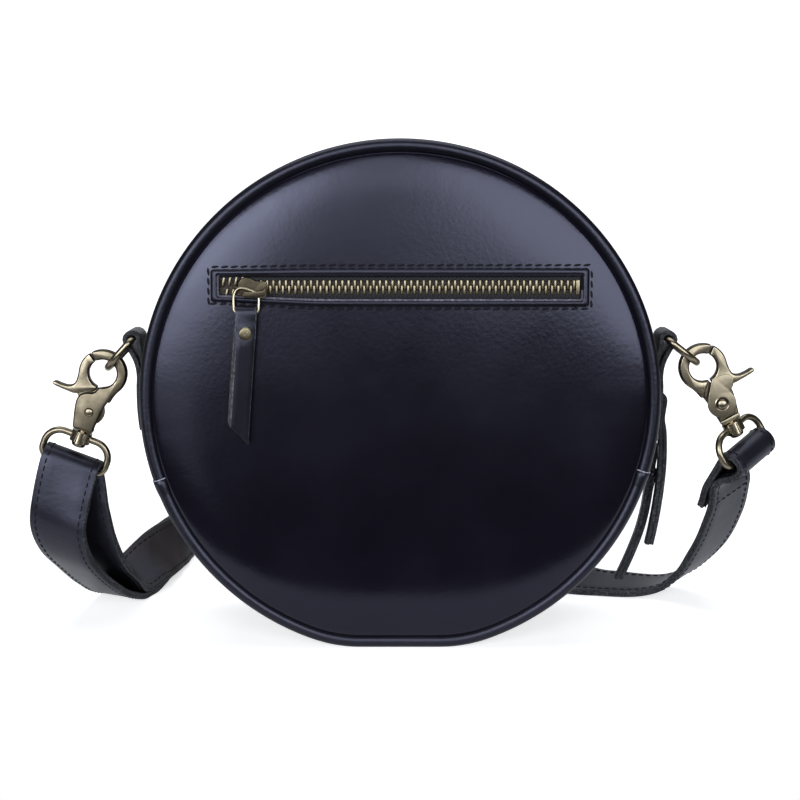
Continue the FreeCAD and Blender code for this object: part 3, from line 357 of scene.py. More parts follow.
def thicken(piece: Piece, thick: float) -> None:
    """Give a sheet its thickness in millimetres, on the inner side.

    Args:
        piece: The sheet.
        thick: Its thickness.
    """
    wall = piece.modifiers.new("Wall", "SOLIDIFY")
    wall.thickness = thick * MM
    wall.offset = -1.0
    apply_modifiers(piece)


# Finishes


class Sheet:
    """A shader tree to which nodes are added and linked."""

    def __init__(self, tree: Tree) -> None:
        """Keep the tree."""
        self.tree = tree

    def add(self, kind: str, **inputs: object) -> Node:
        """Add a node and set its inputs.

        Args:
            kind: The node's type.
            inputs: Values or sockets, by the socket's name with _ for a blank.

        Returns:
            The node.
        """
        node = self.tree.nodes.new(kind)
        for name, value in inputs.items():
            self.feed(node, name.replace("_", " "), value)
        return node

    def feed(self, node: Node, socket: object, value: object) -> None:
        """Set one input of a node, or link a socket to it.

        Args:
            node: The node.
            socket: Name or number of its input.
            value: Value or socket.
        """
        if isinstance(value, Socket):
            self.tree.links.new(value, node.inputs[socket])
        else:
            node.inputs[socket].default_value = value

    def group(self, tree: Tree, **inputs: object) -> Node:
        """Add a node group and set its inputs.

        Args:
            tree: The group.
            inputs: Values or sockets, by name.

        Returns:
            The node.
        """
        node = self.add("ShaderNodeGroup")
        node.node_tree = tree
        for name, value in inputs.items():
            self.feed(node, name, value)
        return node

    def math(self, operation: str, first: object, second: object = 0.0) -> Socket:
        """Join two values with one operation.

        Args:
            operation: Blender's name of it.
            first: Value or socket.
            second: Value or socket.

        Returns:
            The result's socket.
        """
        node = self.add("ShaderNodeMath")
        node.operation = operation
        self.feed(node, 0, first)
        self.feed(node, 1, second)
        return node.outputs[0]

    def ramp(self, value: object, low: float, high: float) -> Socket:
        """Spread the values between two limits over 0 to 1."""
        return self.add("ShaderNodeMapRange", Value=value, From_Min=low, From_Max=high).outputs["Result"]

    def between(self, value: object, low: float, high: float) -> Socket:
        """Spread 0 to 1 over the values between two limits."""
        return self.add("ShaderNodeMapRange", Value=value, To_Min=low, To_Max=high).outputs["Result"]

    def mix(self, share: object, first: object, second: object) -> Socket:
        """Mix two colours.

        Args:
            share: How much of the second.
            first: First colour.
            second: Second colour.

        Returns:
            The mixed colour's socket.
        """
        node = self.add("ShaderNodeMix")
        node.data_type = "RGBA"
        self.feed(node, 0, share)
        self.feed(node, 6, first)
        self.feed(node, 7, second)
        return node.outputs[2]


def new_group(name: str, values: Sequence[str], outputs: Sequence[str]) -> tuple[Sheet, Node, Node]:
    """Start a shader node group that takes a place and some values.

    Args:
        name: Name of the group.
        values: Names of its inputs beside the Vector.
        outputs: Names of its outputs, all values.

    Returns:
        The sheet and the group's input and output nodes.
    """
    tree = bpy.data.node_groups.new(name, "ShaderNodeTree")
    tree.interface.new_socket(name="Vector", in_out="INPUT", socket_type="NodeSocketVector")
    for labels, way in ((values, "INPUT"), (outputs, "OUTPUT")):
        for label in labels:
            tree.interface.new_socket(name=label, in_out=way, socket_type="NodeSocketFloat")
    return Sheet(tree), tree.nodes.new("NodeGroupInput"), tree.nodes.new("NodeGroupOutput")


def grain_group() -> Tree:
    """Pores, pebbles and soft creases of tanned leather.

    Returns:
        A group with the outputs Height and Cloud.
    """
    sheet, source, sink = new_group("leather_grain", ("Pebble", "Crease"), ("Height", "Cloud"))
    place = source.outputs["Vector"]
    bend = sheet.add("ShaderNodeTexNoise", Vector=place, Scale=70.0, Detail=3.0)
    cloud = sheet.add("ShaderNodeTexNoise", Vector=place, Scale=22.0, Detail=4.0, Roughness=0.6)
    pore = sheet.add("ShaderNodeTexNoise", Vector=place, Scale=1500.0, Detail=2.0)
    pebble = sheet.add("ShaderNodeTexVoronoi", Vector=place, Scale=source.outputs["Pebble"])
    pebble.feature = "SMOOTH_F1"
    crease = sheet.add("ShaderNodeTexNoise", Vector=place, Scale=45.0, Detail=4.0)
    crease.noise_type = "RIDGED_MULTIFRACTAL"
    fold = sheet.math("MULTIPLY", crease.outputs["Fac"], source.outputs["Crease"])
    relief = sheet.math("MULTIPLY_ADD", pebble.outputs["Distance"], -0.5)
    height = sheet.math("ADD", relief, sheet.math("MULTIPLY", pore.outputs["Fac"], 0.25))
    height = sheet.math("ADD", height, sheet.math("MULTIPLY", bend.outputs["Fac"], 0.4))
    height = sheet.math("SUBTRACT", height, sheet.math("MULTIPLY", fold, 0.5))
    sheet.feed(sink, "Height", height)
    sheet.feed(sink, "Cloud", cloud.outputs["Fac"])
    return sheet.tree


def weave_group() -> Tree:
    """Plain weave of crossing threads.

    Returns:
        A group with the output Height.
    """
    sheet, source, sink = new_group("plain_weave", ("Threads",), ("Height",))
    parts = sheet.add("ShaderNodeSeparateXYZ", Vector=source.outputs["Vector"])
    rate = sheet.math("MULTIPLY", source.outputs["Threads"], math.pi)
    waves = []
    for axis in ("X", "Y", "Z"):
        waves.append(sheet.math("SINE", sheet.math("MULTIPLY", parts.outputs[axis], rate)))
    cross = sheet.math("MULTIPLY", waves[0], sheet.math("ADD", waves[1], waves[2]))
    fuzz = sheet.add("ShaderNodeTexNoise", Vector=source.outputs["Vector"], Scale=400.0, Detail=3.0)
    sheet.feed(sink, "Height", sheet.math("ADD", cross, sheet.math("MULTIPLY", fuzz.outputs["Fac"], 0.8)))
    return sheet.tree


def patina_group() -> Tree:
    """Dark patina that handling has rubbed off the high places of brass.

    Returns:
        A group with the outputs Bright and Height.
    """
    sheet, source, sink = new_group("brass_patina", ("Edge", "Rub"), ("Bright", "Height"))
    place = source.outputs["Vector"]
    blotch = sheet.add("ShaderNodeTexNoise", Vector=place, Scale=140.0, Detail=5.0, Roughness=0.65)
    brush = sheet.add("ShaderNodeTexNoise", Vector=place, Scale=900.0, Detail=2.0)
    edge = sheet.math("MULTIPLY", sheet.ramp(source.outputs["Edge"], 0.44, 0.56), 0.65)
    bright = sheet.math("ADD", edge, sheet.math("MULTIPLY", blotch.outputs["Fac"], 0.7))
    bright = sheet.math("ADD", bright, sheet.math("SUBTRACT", source.outputs["Rub"], 0.65))
    sheet.feed(sink, "Bright", sheet.add("ShaderNodeClamp", Value=bright).outputs[0])
    sheet.feed(sink, "Height", brush.outputs["Fac"])
    return sheet.tree


def colour(red: float, green: float, blue: float) -> Colour:
    """Opaque colour from three linear values."""
    return (red, green, blue, 1.0)


@dataclass(frozen=True)
class Finish:
    """What every finish has: a name and a material made from nodes."""

    name: str

    def start(self) -> tuple[Material, Sheet, Node, Socket]:
        """Make the material with its Principled shader.

        Returns:
            The material, its sheet, the shader and the object coordinates.
        """
        material = bpy.data.materials.new(self.name)
        material.use_nodes = True
        sheet = Sheet(material.node_tree)
        shader = next(node for node in material.node_tree.nodes if node.type == "BSDF_PRINCIPLED")
        place = sheet.add("ShaderNodeTexCoord").outputs["Object"]
        return material, sheet, shader, place

    @staticmethod
    def bump(sheet: Sheet, shader: Node, height: object, strength: float, distance: float) -> None:
        """Give a shader small relief from a height."""
        node = sheet.add("ShaderNodeBump", Height=height, Strength=strength, Distance=distance)
        sheet.feed(shader, "Normal", node.outputs["Normal"])


@dataclass(frozen=True)
class Leather(Finish):
    """Smooth dyed leather with fine pores."""

    dark: Colour
    light: Colour
    smooth_rough: float
    worn_rough: float
    pebble: float
    crease: float
    relief: float
    sheen: Colour = (0.73, 0.75, 1.0, 1.0)

    def make(self, grain: Tree) -> Material:
        """Build the material with the leather grain group.

        Args:
            grain: The group.

        Returns:
            The material.
        """
        material, sheet, shader, place = self.start()
        group = sheet.group(grain, Vector=place, Pebble=self.pebble, Crease=self.crease)
        cloud = sheet.ramp(group.outputs["Cloud"], 0.3, 0.7)
        sheet.feed(shader, "Base Color", sheet.mix(cloud, self.dark, self.light))
        sheet.feed(shader, "Roughness", sheet.between(cloud, self.smooth_rough, self.worn_rough))
        sheet.feed(shader, "Specular Tint", self.sheen)
        self.bump(sheet, shader, group.outputs["Height"], self.relief, 0.0004)
        return material


@dataclass(frozen=True)
class RawEdge(Finish):
    """Cut edge of leather: fibres, burnished in places."""

    dark: Colour
    light: Colour

    def make(self) -> Material:
        """Build the material.

        Returns:
            The material.
        """
        material, sheet, shader, place = self.start()
        fibre = sheet.add("ShaderNodeTexNoise", Vector=place, Scale=900.0, Detail=4.0, Roughness=0.7)
        patch = sheet.add("ShaderNodeTexNoise", Vector=place, Scale=60.0, Detail=3.0)
        pale = sheet.ramp(fibre.outputs["Fac"], 0.45, 0.75)
        share = sheet.math("MULTIPLY", pale, sheet.ramp(patch.outputs["Fac"], 0.25, 0.7))
        sheet.feed(shader, "Base Color", sheet.mix(share, self.dark, self.light))
        sheet.feed(shader, "Roughness", 0.8)
        self.bump(sheet, shader, fibre.outputs["Fac"], 0.5, 0.0003)
        return material


@dataclass(frozen=True)
class Thread(Finish):
    """Twisted sewing thread."""

    tint: Colour

    def make(self) -> Material:
        """Build the material.

        Returns:
            The material.
        """
        material, sheet, shader, place = self.start()
        twist = sheet.add("ShaderNodeTexNoise", Vector=place, Scale=2500.0, Detail=2.0)
        shade = sheet.ramp(twist.outputs["Fac"], 0.2, 0.8)
        dim = tuple(value * 0.55 for value in self.tint[:3]) + (1.0,)
        sheet.feed(shader, "Base Color", sheet.mix(shade, dim, self.tint))
        sheet.feed(shader, "Roughness", 0.75)
        sheet.feed(shader, "Specular IOR Level", 0.25)
        self.bump(sheet, shader, twist.outputs["Fac"], 0.4, 0.0002)
        return material


@dataclass(frozen=True)
class Woven(Finish):
    """Woven cloth."""

    dark: Colour
    light: Colour
    threads: float

    def make(self, weave: Tree) -> Material:
        """Build the material with the plain weave group.

        Args:
            weave: The group.

        Returns:
            The material.
        """
        material, sheet, shader, place = self.start()
        group = sheet.group(weave, Vector=place, Threads=self.threads)
        share = sheet.ramp(group.outputs["Height"], -0.8, 1.6)
        sheet.feed(shader, "Base Color", sheet.mix(share, self.dark, self.light))
        sheet.feed(shader, "Roughness", 0.85)
        sheet.feed(shader, "Sheen Weight", 0.15)
        self.bump(sheet, shader, group.outputs["Height"], 0.35, 0.0003)
        return material


@dataclass(frozen=True)
class Brass(Finish):
    """Antique brass with dark recesses and rubbed edges."""

    dark: Colour
    light: Colour
    rub: float
    bright_rough: float
    dull_rough: float

    def make(self, patina: Tree) -> Material:
        """Build the material with the brass patina group.

        Args:
            patina: The group.

        Returns:
            The material.
        """
        material, sheet, shader, place = self.start()
        edge = sheet.add("ShaderNodeNewGeometry").outputs["Pointiness"]
        group = sheet.group(patina, Vector=place, Edge=edge, Rub=self.rub)
        bright = group.outputs["Bright"]
        sheet.feed(shader, "Base Color", sheet.mix(bright, self.dark, self.light))
        sheet.feed(shader, "Metallic", 1.0)
        sheet.feed(shader, "Roughness", sheet.between(bright, self.dull_rough, self.bright_rough))
        self.bump(sheet, shader, group.outputs["Height"], 0.06, 0.0002)
        return material


class Finishes:
    """All materials of the bag, made once."""

    def __init__(self) -> None:
        """Make the shared groups and the materials."""
        grain = grain_group()
        weave = weave_group()
        patina = patina_group()
        self.leather = Leather(
            "blue_black_leather",
            dark=colour(0.0028, 0.002, 0.005),
            light=colour(0.0042, 0.0033, 0.0072),
            smooth_rough=0.17,
            worn_rough=0.23,
            pebble=620.0,
            crease=0.25,
            relief=0.09,
        ).make(grain)
        self.piping = Leather(
            "piping_leather",
            dark=colour(0.0024, 0.002, 0.0038),
            light=colour(0.005, 0.0046, 0.007),
            smooth_rough=0.28,
            worn_rough=0.38,
            pebble=700.0,
            crease=0.6,
            relief=0.22,
        ).make(grain)
        self.strap = Leather(
            "strap_leather",
            dark=colour(0.004, 0.0037, 0.006),
            light=colour(0.009, 0.0088, 0.0122),
            smooth_rough=0.3,
            worn_rough=0.42,
            pebble=560.0,
            crease=0.5,
            relief=0.2,
        ).make(grain)
        self.back = Leather(
            "leather_back",
            dark=colour(0.01, 0.0085, 0.0085),
            light=colour(0.042, 0.033, 0.03),
            smooth_rough=0.5,
            worn_rough=0.7,
            pebble=300.0,
            crease=2.4,
            relief=0.9,
        ).make(grain)
        self.edge = RawEdge("raw_edge", colour(0.008, 0.008, 0.011), colour(0.135, 0.135, 0.155)).make()
        self.cut_edge = RawEdge("cut_edge", colour(0.03, 0.03, 0.035), colour(0.34, 0.34, 0.37)).make()
        # Pale lilac lip edge: partly raw leather edge, partly a painted highlight along the lit lips of the
        # pocket's window
        self.lip_highlight_edge = RawEdge("lip_edge_painted_highlight", colour(0.07, 0.065, 0.09), colour(0.42, 0.4, 0.5)).make()
        self.thread = Thread("dark_thread", colour(0.0065, 0.0062, 0.009)).make()
        self.pale_thread = Thread("pale_thread", colour(0.5, 0.49, 0.58)).make()
        tape = Woven("zip_tape_weave", colour(0.004, 0.004, 0.006), colour(0.016, 0.016, 0.02), 1300.0)
        self.tape = tape.make(weave)
        lining = Woven("lining_weave", colour(0.03, 0.024, 0.02), colour(0.075, 0.062, 0.05), 1100.0)
        self.lining = lining.make(weave)
        self.brass = Brass(
            "antique_brass",
            dark=colour(0.045, 0.034, 0.02),
            light=colour(0.6, 0.52, 0.37),
            rub=0.34,
            bright_rough=0.2,
            dull_rough=0.36,
        ).make(patina)
        # Dark brass: the slider's own darker metal, and painted shade on the hooks' rims
        self.dark_brass_and_rim_shade = Brass(
            "dark_brass_and_rim_shade",
            dark=colour(0.011, 0.0085, 0.006),
            light=colour(0.13, 0.108, 0.072),
            rub=0.24,
            bright_rough=0.26,
            dull_rough=0.4,
        ).make(patina)
        self.teeth = Brass(
            "zip_brass",
            dark=colour(0.03, 0.023, 0.014),
            light=colour(0.42, 0.36, 0.24),
            rub=0.2,
            bright_rough=0.28,
            dull_rough=0.42,
        ).make(patina)


# Shared shapes


def spaced(start: float, end: float, count: int) -> list[float]:
    """Values at even steps from one to another, both included."""
    return [start + (end - start) * step / count for step in range(count + 1)]


def full_turn(count: int) -> list[float]:
    """Even steps of a full turn, in radians."""
    return [2.0 * math.pi * step / count for step in range(count)]


def ease(share: float) -> float:
    """A share that starts and ends gently."""
    return share * share * (3.0 - 2.0 * share)


@dataclass(frozen=True)
class Outline:
    """The bag seen from its pocket side: a circle with a flattened base. Sizes in millimetres."""

    radius: float = 106.0
    centre: float = 103.0
    corner: float = 60.0

    @property
    def corner_x(self) -> float:
        """Half the length of the flat base."""
        return math.sqrt((self.radius - self.corner) ** 2 - (self.centre - self.corner) ** 2)

    @property
    def corner_turn(self) -> float:
        """Angle below the horizontal at which the base's corners begin, in degrees."""
        return math.degrees(math.atan2(self.centre - self.corner, self.corner_x))

    def lengths(self) -> tuple[float, float, float]:
        """Lengths of half the base, of one corner and of the whole outline.

        Returns:
            The three lengths.
        """
        corner = self.corner * math.radians(90.0 - self.corner_turn)
        main = self.radius * math.radians(180.0 + 2.0 * self.corner_turn)
        return self.corner_x, corner, 2.0 * (self.corner_x + corner) + main

    def share_at(self, angle: float) -> float:
        """Share of the way round, from the base's middle to the right, of an angle on the main arc."""
        base, corner, whole = self.lengths()
        return (base + corner + self.radius * math.radians(angle + self.corner_turn)) / whole

    def place(self, share: float, inset: float) -> FourNumbers:
        """Point of the outline.

        Args:
            share: Share of the way round, 0 at the base's middle.
            inset: Distance inwards.

        Returns:
            X, Z and the outward direction's X and Z.
        """
        base, corner, whole = self.lengths()
        passed = share % 1.0 * whole
        if passed < base or passed > whole - base:
            x = passed if passed < base else passed - whole
            return x, inset, 0.0, -1.0
        if passed < base + corner:
            turn = math.radians(-90.0) + (passed - base) / self.corner
            return self.round_place(self.corner_x, self.corner, self.corner - inset, turn)
        if passed > whole - base - corner:
            turn = math.radians(270.0) - (whole - base - passed) / self.corner
            return self.round_place(-self.corner_x, self.corner, self.corner - inset, turn)
        turn = math.radians(-self.corner_turn) + (passed - base - corner) / self.radius
        return self.round_place(0.0, self.centre, self.radius - inset, turn)

    @staticmethod
    def round_place(x: float, z: float, radius: float, turn: float) -> FourNumbers:
        """Point and outward direction on one arc.

        Args:
            x: Middle.
            z: Its height.
            radius: The radius.
            turn: Angle in radians.

        Returns:
            X, Z and the outward direction's X and Z.
        """
        outward_x = math.cos(turn)
        outward_z = math.sin(turn)
        return x + radius * outward_x, z + radius * outward_z, outward_x, outward_z

    def shares(self, start: float, end: float, count: int) -> list[float]:
        """Evenly spread shares between two angles, past the base if the end comes first.

        Args:
            start: First angle.
            end: Last angle.
            count: How many steps lie between.

        Returns:
            The shares, of which the last may be over 1.
        """
        first = self.share_at(start)
        last = self.share_at(end)
        if last <= first:
            last += 1.0
        return spaced(first, last, count)

    def spot(self, share: float, inset: float, depth: float) -> tuple[Vector, Vector]:
        """Point of the outline at one depth, and the direction outwards there."""
        x, z, out_x, out_z = self.place(share, inset)
        return Vector((x, depth, z)), Vector((out_x, 0.0, out_z))

    def loop(self, count: int, inset: float, depth: float) -> list[Vector]:
        """Points all the way round, at one distance inwards and one depth."""
        return [self.spot(index / count, inset, depth)[0] for index in range(count)]

    def sweep(self, shares: Sequence[float], profile: Sequence[Flat]) -> list[list[Vector]]:
        """Sections of a profile, given as depths and insets, carried along the outline."""
        return [[self.spot(share, inset, depth)[0] for depth, inset in profile] for share in shares]


OUTLINE = Outline()
PANEL_FACE = 38.5
ACROSS_FLAP = "bag to flap"


def round_point(radius: float, angle: float, depth: float) -> Vector:
    """Point at a radius and an angle round the bag's middle, at one depth."""
    turn = math.radians(angle)
    return Vector((radius * math.cos(turn), depth, OUTLINE.centre + radius * math.sin(turn)))


def hand_over(piece: Piece, body: str, nodes: Sequence[str], slot: str, *materials: Material) -> None:
    """Dress a finished piece, put it on its body and report it.

    Args:
        piece: The piece.
        body: Body that carries it, or ACROSS_FLAP for a piece across the flap's chord, which is left on no
            body.
        nodes: Solids that it stands for.
        slot: Material slot of the part that it belongs to; not used.
        materials: Its materials, in the order of its surfaces.
    """
    surfaces = [polygon.material_index for polygon in piece.data.polygons]
    piece.data.materials.clear()
    for material in materials:
        piece.data.materials.append(material)
    for polygon, surface in zip(piece.data.polygons, surfaces):
        polygon.material_index = min(surface, len(materials) - 1)
    if body == ACROSS_FLAP:
        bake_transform(piece)
    else:
        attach(piece, body)
    if nodes:
        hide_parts(*nodes)
    log.info("%s on %s", piece.name, body)


def step_in(share: float, depth: float = 0.0) -> None:
    """Extrude the rim that is selected, drawn in towards the bag's middle and moved along Y.

    Args:
        share: Share of its size that the rim keeps.
        depth: How far it moves, in millimetres.
    """
    centre = (0.0, 0.0, OUTLINE.centre * MM)
    bpy.ops.mesh.extrude_region()
    bpy.ops.transform.resize(value=(share, 1.0, share), center_override=centre)
    bpy.ops.transform.translate(value=(0.0, depth * MM, 0.0))


def smooth_stations(stations: Sequence[Station], step: float) -> list[Station]:
    """Run a smooth line through stations.

    Args:
        stations: Middle points and directions across, in millimetres.
        step: Greatest distance between the new stations.

    Returns:
        Close stations along the line.
    """
    result = []
    last = len(stations) - 1
    for index in range(last):
        before = stations[max(index - 1, 0)]
        here = stations[index]
        there = stations[index + 1]
        after = stations[min(index + 2, last)]
        span = (there[0] - here[0]).length
        lead = max((here[0] - before[0]).length, 1e-6)
        trail = max((after[0] - there[0]).length, 1e-6)
        if index == 0:
            lead = span
        if index == last - 1:
            trail = span
        count = max(1, math.ceil(span / step))
        for part in range(count):
            share = part / count
            middle = hermite((before[0], here[0], there[0], after[0]), (lead, span, trail), share)
            result.append((middle, here[1].lerp(there[1], ease(share))))
    result.append(stations[-1])
    return result


def hermite(points: Sequence[Vector], spans: Sequence[float], share: float) -> Vector:
    """Point on a smooth curve between two points, with slopes from their neighbours.

    Args:
        points: The point before, the two points and the point after.
        spans: The three distances between them.
        share: Share of the way between the two.

    Returns:
        The point.
    """
    before, here, there, after = points
    lead, span, trail = spans
    first = ((there - before) / (lead + span)) * span
    second = ((after - here) / (span + trail)) * span
    square = share * share
    cube = square * share
    return (
        here * (2.0 * cube - 3.0 * square + 1.0)
        + first * (cube - 2.0 * square + share)
        + there * (3.0 * square - 2.0 * cube)
        + second * (cube - square)
    )


def arc(x: float, z: float, radius: float, start: float, end: float, count: int) -> list[Flat]:
    """Points of an arc seen from the front, with angles in degrees.

    Args:
        x: Middle.
        z: Its height.
        radius: The radius.
        start: First angle.
        end: Last angle.
        count: How many steps.

    Returns:
        The points.
    """
    result = []
    for angle in spaced(start, end, count):
        turn = math.radians(angle)
        result.append((x + radius * math.cos(turn), z + radius * math.sin(turn)))
    return result


def flowing(points: Sequence[Flat], step: float = 0.6) -> list[Flat]:
    """Smooth line through points seen from the front."""
    stations = [(Vector((x, 0.0, z)), AWAY) for x, z in points]
    return [(middle.x, middle.z) for middle, _ in smooth_stations(stations, step)]


def worn(outline: Sequence[Flat], spacing: float = 0.35, passes: int = 6) -> list[Flat]:
    """Closed outline at even steps with its corners worn round, in millimetres.

    Args:
        outline: Corners in order.
        spacing: Distance between the new points.
        passes: How often each point moves towards its neighbours.

    Returns:
        The new points.
    """
    points = []
    for index, end in enumerate(outline):
        start = outline[index - 1]
        steps = max(1, round(math.dist(start, end) / spacing))
        if math.dist(start, end) < spacing / 4.0:
            continue
        for step in range(steps):
            share = step / steps
            points.append((start[0] + (end[0] - start[0]) * share, start[1] + (end[1] - start[1]) * share))
    for _ in range(passes):
        shifted = points[1:] + points[:1]
        back = points[-1:] + points[:-1]
        points = [
            ((a[0] + 2.0 * b[0] + c[0]) / 4.0, (a[1] + 2.0 * b[1] + c[1]) / 4.0)
            for a, b, c in zip(back, points, shifted)
        ]
    return points


def rim_room(points: Sequence[Flat], way: float, soft: float) -> list[float]:
    """How far each point of an outline may move inwards before it meets its neighbours.

    Args:
        points: The closed outline.
        way: 1 where it runs anticlockwise, otherwise -1.
        soft: The most that a point may move.

    Returns:
        A distance for each point.
    """
    count = len(points)
    reach = 3
    window = range(-4, 5)
    room = []
    for index in range(count):
        first = points[index - reach]
        middle = points[index]
        last = points[(index + reach) % count]
        to_middle = (middle[0] - first[0], middle[1] - first[1])
        to_last = (last[0] - first[0], last[1] - first[1])
        area = to_middle[0] * to_last[1] - to_middle[1] * to_last[0]
        radius = soft * 2.0
        if way * area > 1e-6:
            sides = math.dist(first, middle) * math.dist(middle, last) * math.dist(first, last)
            radius = sides / (2.0 * way * area)
        room.append(min(soft, 0.6 * radius))
    lowest = [min(room[(index + step) % count] for step in window) for index in range(count)]
    return [sum(lowest[(index + step) % count] for step in window) / len(window) for index in range(count)]


def casting(
    name: str, outline: Sequence[Flat], depths: Flat, soft: Flat, place: Matrix, passes: int = 6
) -> Piece:
    """Cast plate with rounded rims.

    Args:
        name: Name of the piece.
        outline: Its outline seen from the front, in millimetres.
        depths: Where it begins and ends along Y.
        soft: How far the rims round off sideways and along Y.
        place: Its own frame, in millimetres.
        passes: How much its corners are worn.

    Returns:
        The closed plate.
    """
    points = worn(outline, passes=passes)
    count = len(points)
    area = sum(points[i - 1][0] * points[i][1] - points[i][0] * points[i - 1][1] for i in range(count))
    way = 1.0 if area > 0.0 else -1.0
    outward = []
    for index in range(count):
        before = points[index - 1]
        after = points[(index + 1) % count]
        run = math.dist(before, after)
        outward.append((way * (after[1] - before[1]) / run, way * (before[0] - after[0]) / run))
    room = rim_room(points, way, soft[0])
    levels = []
    for step in range(6):
        turn = math.radians(18.0 * step)
        levels.append((1.0 - math.sin(turn), soft[1] * (1.0 - math.cos(turn))))
    near = [(share, depths[0] + lift) for share, lift in levels]
    far = [(share, depths[1] - lift) for share, lift in reversed(levels)]
    sections = []
    for share, depth in near + far:
        loop = []
        for (x, z), (out_x, out_z), inset in zip(points, outward, room):
            loop.append(place @ Vector((x - out_x * inset * share, depth, z - out_z * inset * share)))
        sections.append(loop)
    return loft(name, sections)


def mark_rims(piece: Piece, across: Vector, facing: float = 0.84) -> None:
    """Let the faces of a cast plate that turn away from its front take the second finish.

    Args:
        piece: The plate.
        across: Direction through the plate.
        facing: How squarely a face has to look along that direction to count as front.
    """
    for polygon in piece.data.polygons:
        if abs(polygon.normal.dot(across)) < facing:
            polygon.material_index = Part.EDGE.value


def turned(name: str, profile: Sequence[Flat], place: Matrix, count: int = 32) -> Piece:
    """Turned piece.

    Args:
        name: Name of the piece.
        profile: Radius and height of each ring, from low to high, in millimetres.
        place: Its own frame in millimetres, whose Z is the axis.
        count: Points round the axis.

    Returns:
        The closed piece.
    """
    sections = []
    for radius, height in profile:
        loop = []
        for turn in full_turn(count):
            loop.append(place @ Vector((radius * math.cos(turn), radius * math.sin(turn), height)))
        sections.append(loop)
    return loft(name, sections)


def closed_curve(points: Sequence[Vector], step: float = 0.5) -> list[Vector]:
    """Smooth closed line through points in millimetres.

    Args:
        points: The points.
        step: Greatest distance on the line.

    Returns:
        Close points.
    """
    ring = [points[-1]] + list(points) + [points[0], points[1]]
    close = [middle for middle, _ in smooth_stations([(point, AWAY) for point in ring], step)]
    meets = [index for index, middle in enumerate(close) if (middle - points[0]).length < 1e-6]
    return close[meets[0]:meets[-1]]


@dataclass(frozen=True)
class Ribbon:
    """A flat strip of leather with raw edges. Sizes in millimetres."""

    name: str
    width: float
    thick: float
    layers: int = 1
    step: float = 2.2

    def frames(self, stations: Sequence[Station]) -> list[tuple[Vector, Vector, Vector, Vector]]:
        """Middle, direction across, inward normal and direction along at each close station.

        Args:
            stations: Middle points and directions across, in millimetres.

        Returns:
            Four vectors for each close station.
        """
        close = smooth_stations(stations, self.step)
        last = len(close) - 1
        result = []
        for index, (middle, across) in enumerate(close):
            along = (close[min(index + 1, last)][0] - close[max(index - 1, 0)][0]).normalized()
            side = (across - along * across.dot(along)).normalized()
            result.append((middle, side, side.cross(along), along))
        return result

    def section(self) -> tuple[list[Flat], list[Part]]:
        """Half-width and height of each corner of the strip's section, and each side's finish.

        Returns:
            The corners and the finishes.
        """
        half = self.width / 2.0
        top = self.thick / 2.0
        soft = min(0.45, self.thick * 0.22)
        groove = min(0.22, self.thick * 0.1)
        right = [(half - soft, -top), (half - soft * 0.3, -top + soft * 0.3), (half, -top + soft)]
        if self.layers > 1:
            right += [(half, -groove), (half - groove, 0.0), (half, groove)]
        right += [(half, top - soft), (half - soft * 0.3, top - soft * 0.3), (half - soft, top)]
        left = [(-across, lift) for across, lift in reversed(right)]
        quarter = half * 0.5
        corners = [(-quarter, -top), (0.0, -top), (quarter, -top)] + right
        corners += [(quarter, top), (0.0, top), (-quarter, top)] + left
        edge = [Part.EDGE] * (len(right) - 1)
        parts = [Part.FACE] * 3 + edge + [Part.BACK] * 4 + edge + [Part.FACE]
        return corners, parts

    def build(self, stations: Sequence[Station]) -> Piece:
        """Skin the strip along its stations.

        Args:
            stations: Middle points and directions across, in millimetres.

        Returns:
            The closed strip.
        """
        corners, parts = self.section()
        sections = []
        for middle, side, inward, _ in self.frames(stations):
            sections.append([middle + side * across + inward * lift for across, lift in corners])
        piece = loft(self.name, sections, parts)
        smooth(piece, 50.0)
        return piece


@dataclass(frozen=True)
class Stitch:
    """One stitch of a seam: a short sunk capsule of thread. Sizes in millimetres."""

    length: float = 2.5
    width: float = 0.75
    pitch: float = 3.4

    def model(self) -> Piece:
        """Model one stitch round the origin, lying along X.

        Returns:
            The stitch, in metres.
        """
        origin = (0.0, 0.0, 0.0)
        size = (self.length, self.width, self.width * 0.8)
        deselect()
        bpy.ops.mesh.primitive_uv_sphere_add(segments=8, ring_count=5, radius=0.5 * MM)
        model = bpy.context.active_object
        with editing(model):
            bpy.ops.transform.rotate(value=math.radians(90.0), orient_axis="Y", center_override=origin)
            bpy.ops.transform.resize(value=size, center_override=origin)
        return model

    def row(self, name: str, track: Sequence[Station], slant: float = 0.0) -> Piece:
        """Sew along a track.

        Args:
            name: Name of the piece.
            track: Points in millimetres and the surface's outward direction at each.
            slant: Turn of each stitch about the surface's normal, in degrees.

        Returns:
            The row of stitches.
        """
        places = []
        due = self.pitch / 2.0
        for (here, up), (there, _) in zip(track[:-1], track[1:]):
            span = (there - here).length
            while due <= span:
                place = frame_matrix(here.lerp(there, due / span), there - here, up)
                places.append(place @ Matrix.Rotation(math.radians(slant), 4, "Z"))
                due += self.pitch
            due -= span
        return copies(name, self.model(), places)


# The bag's shell


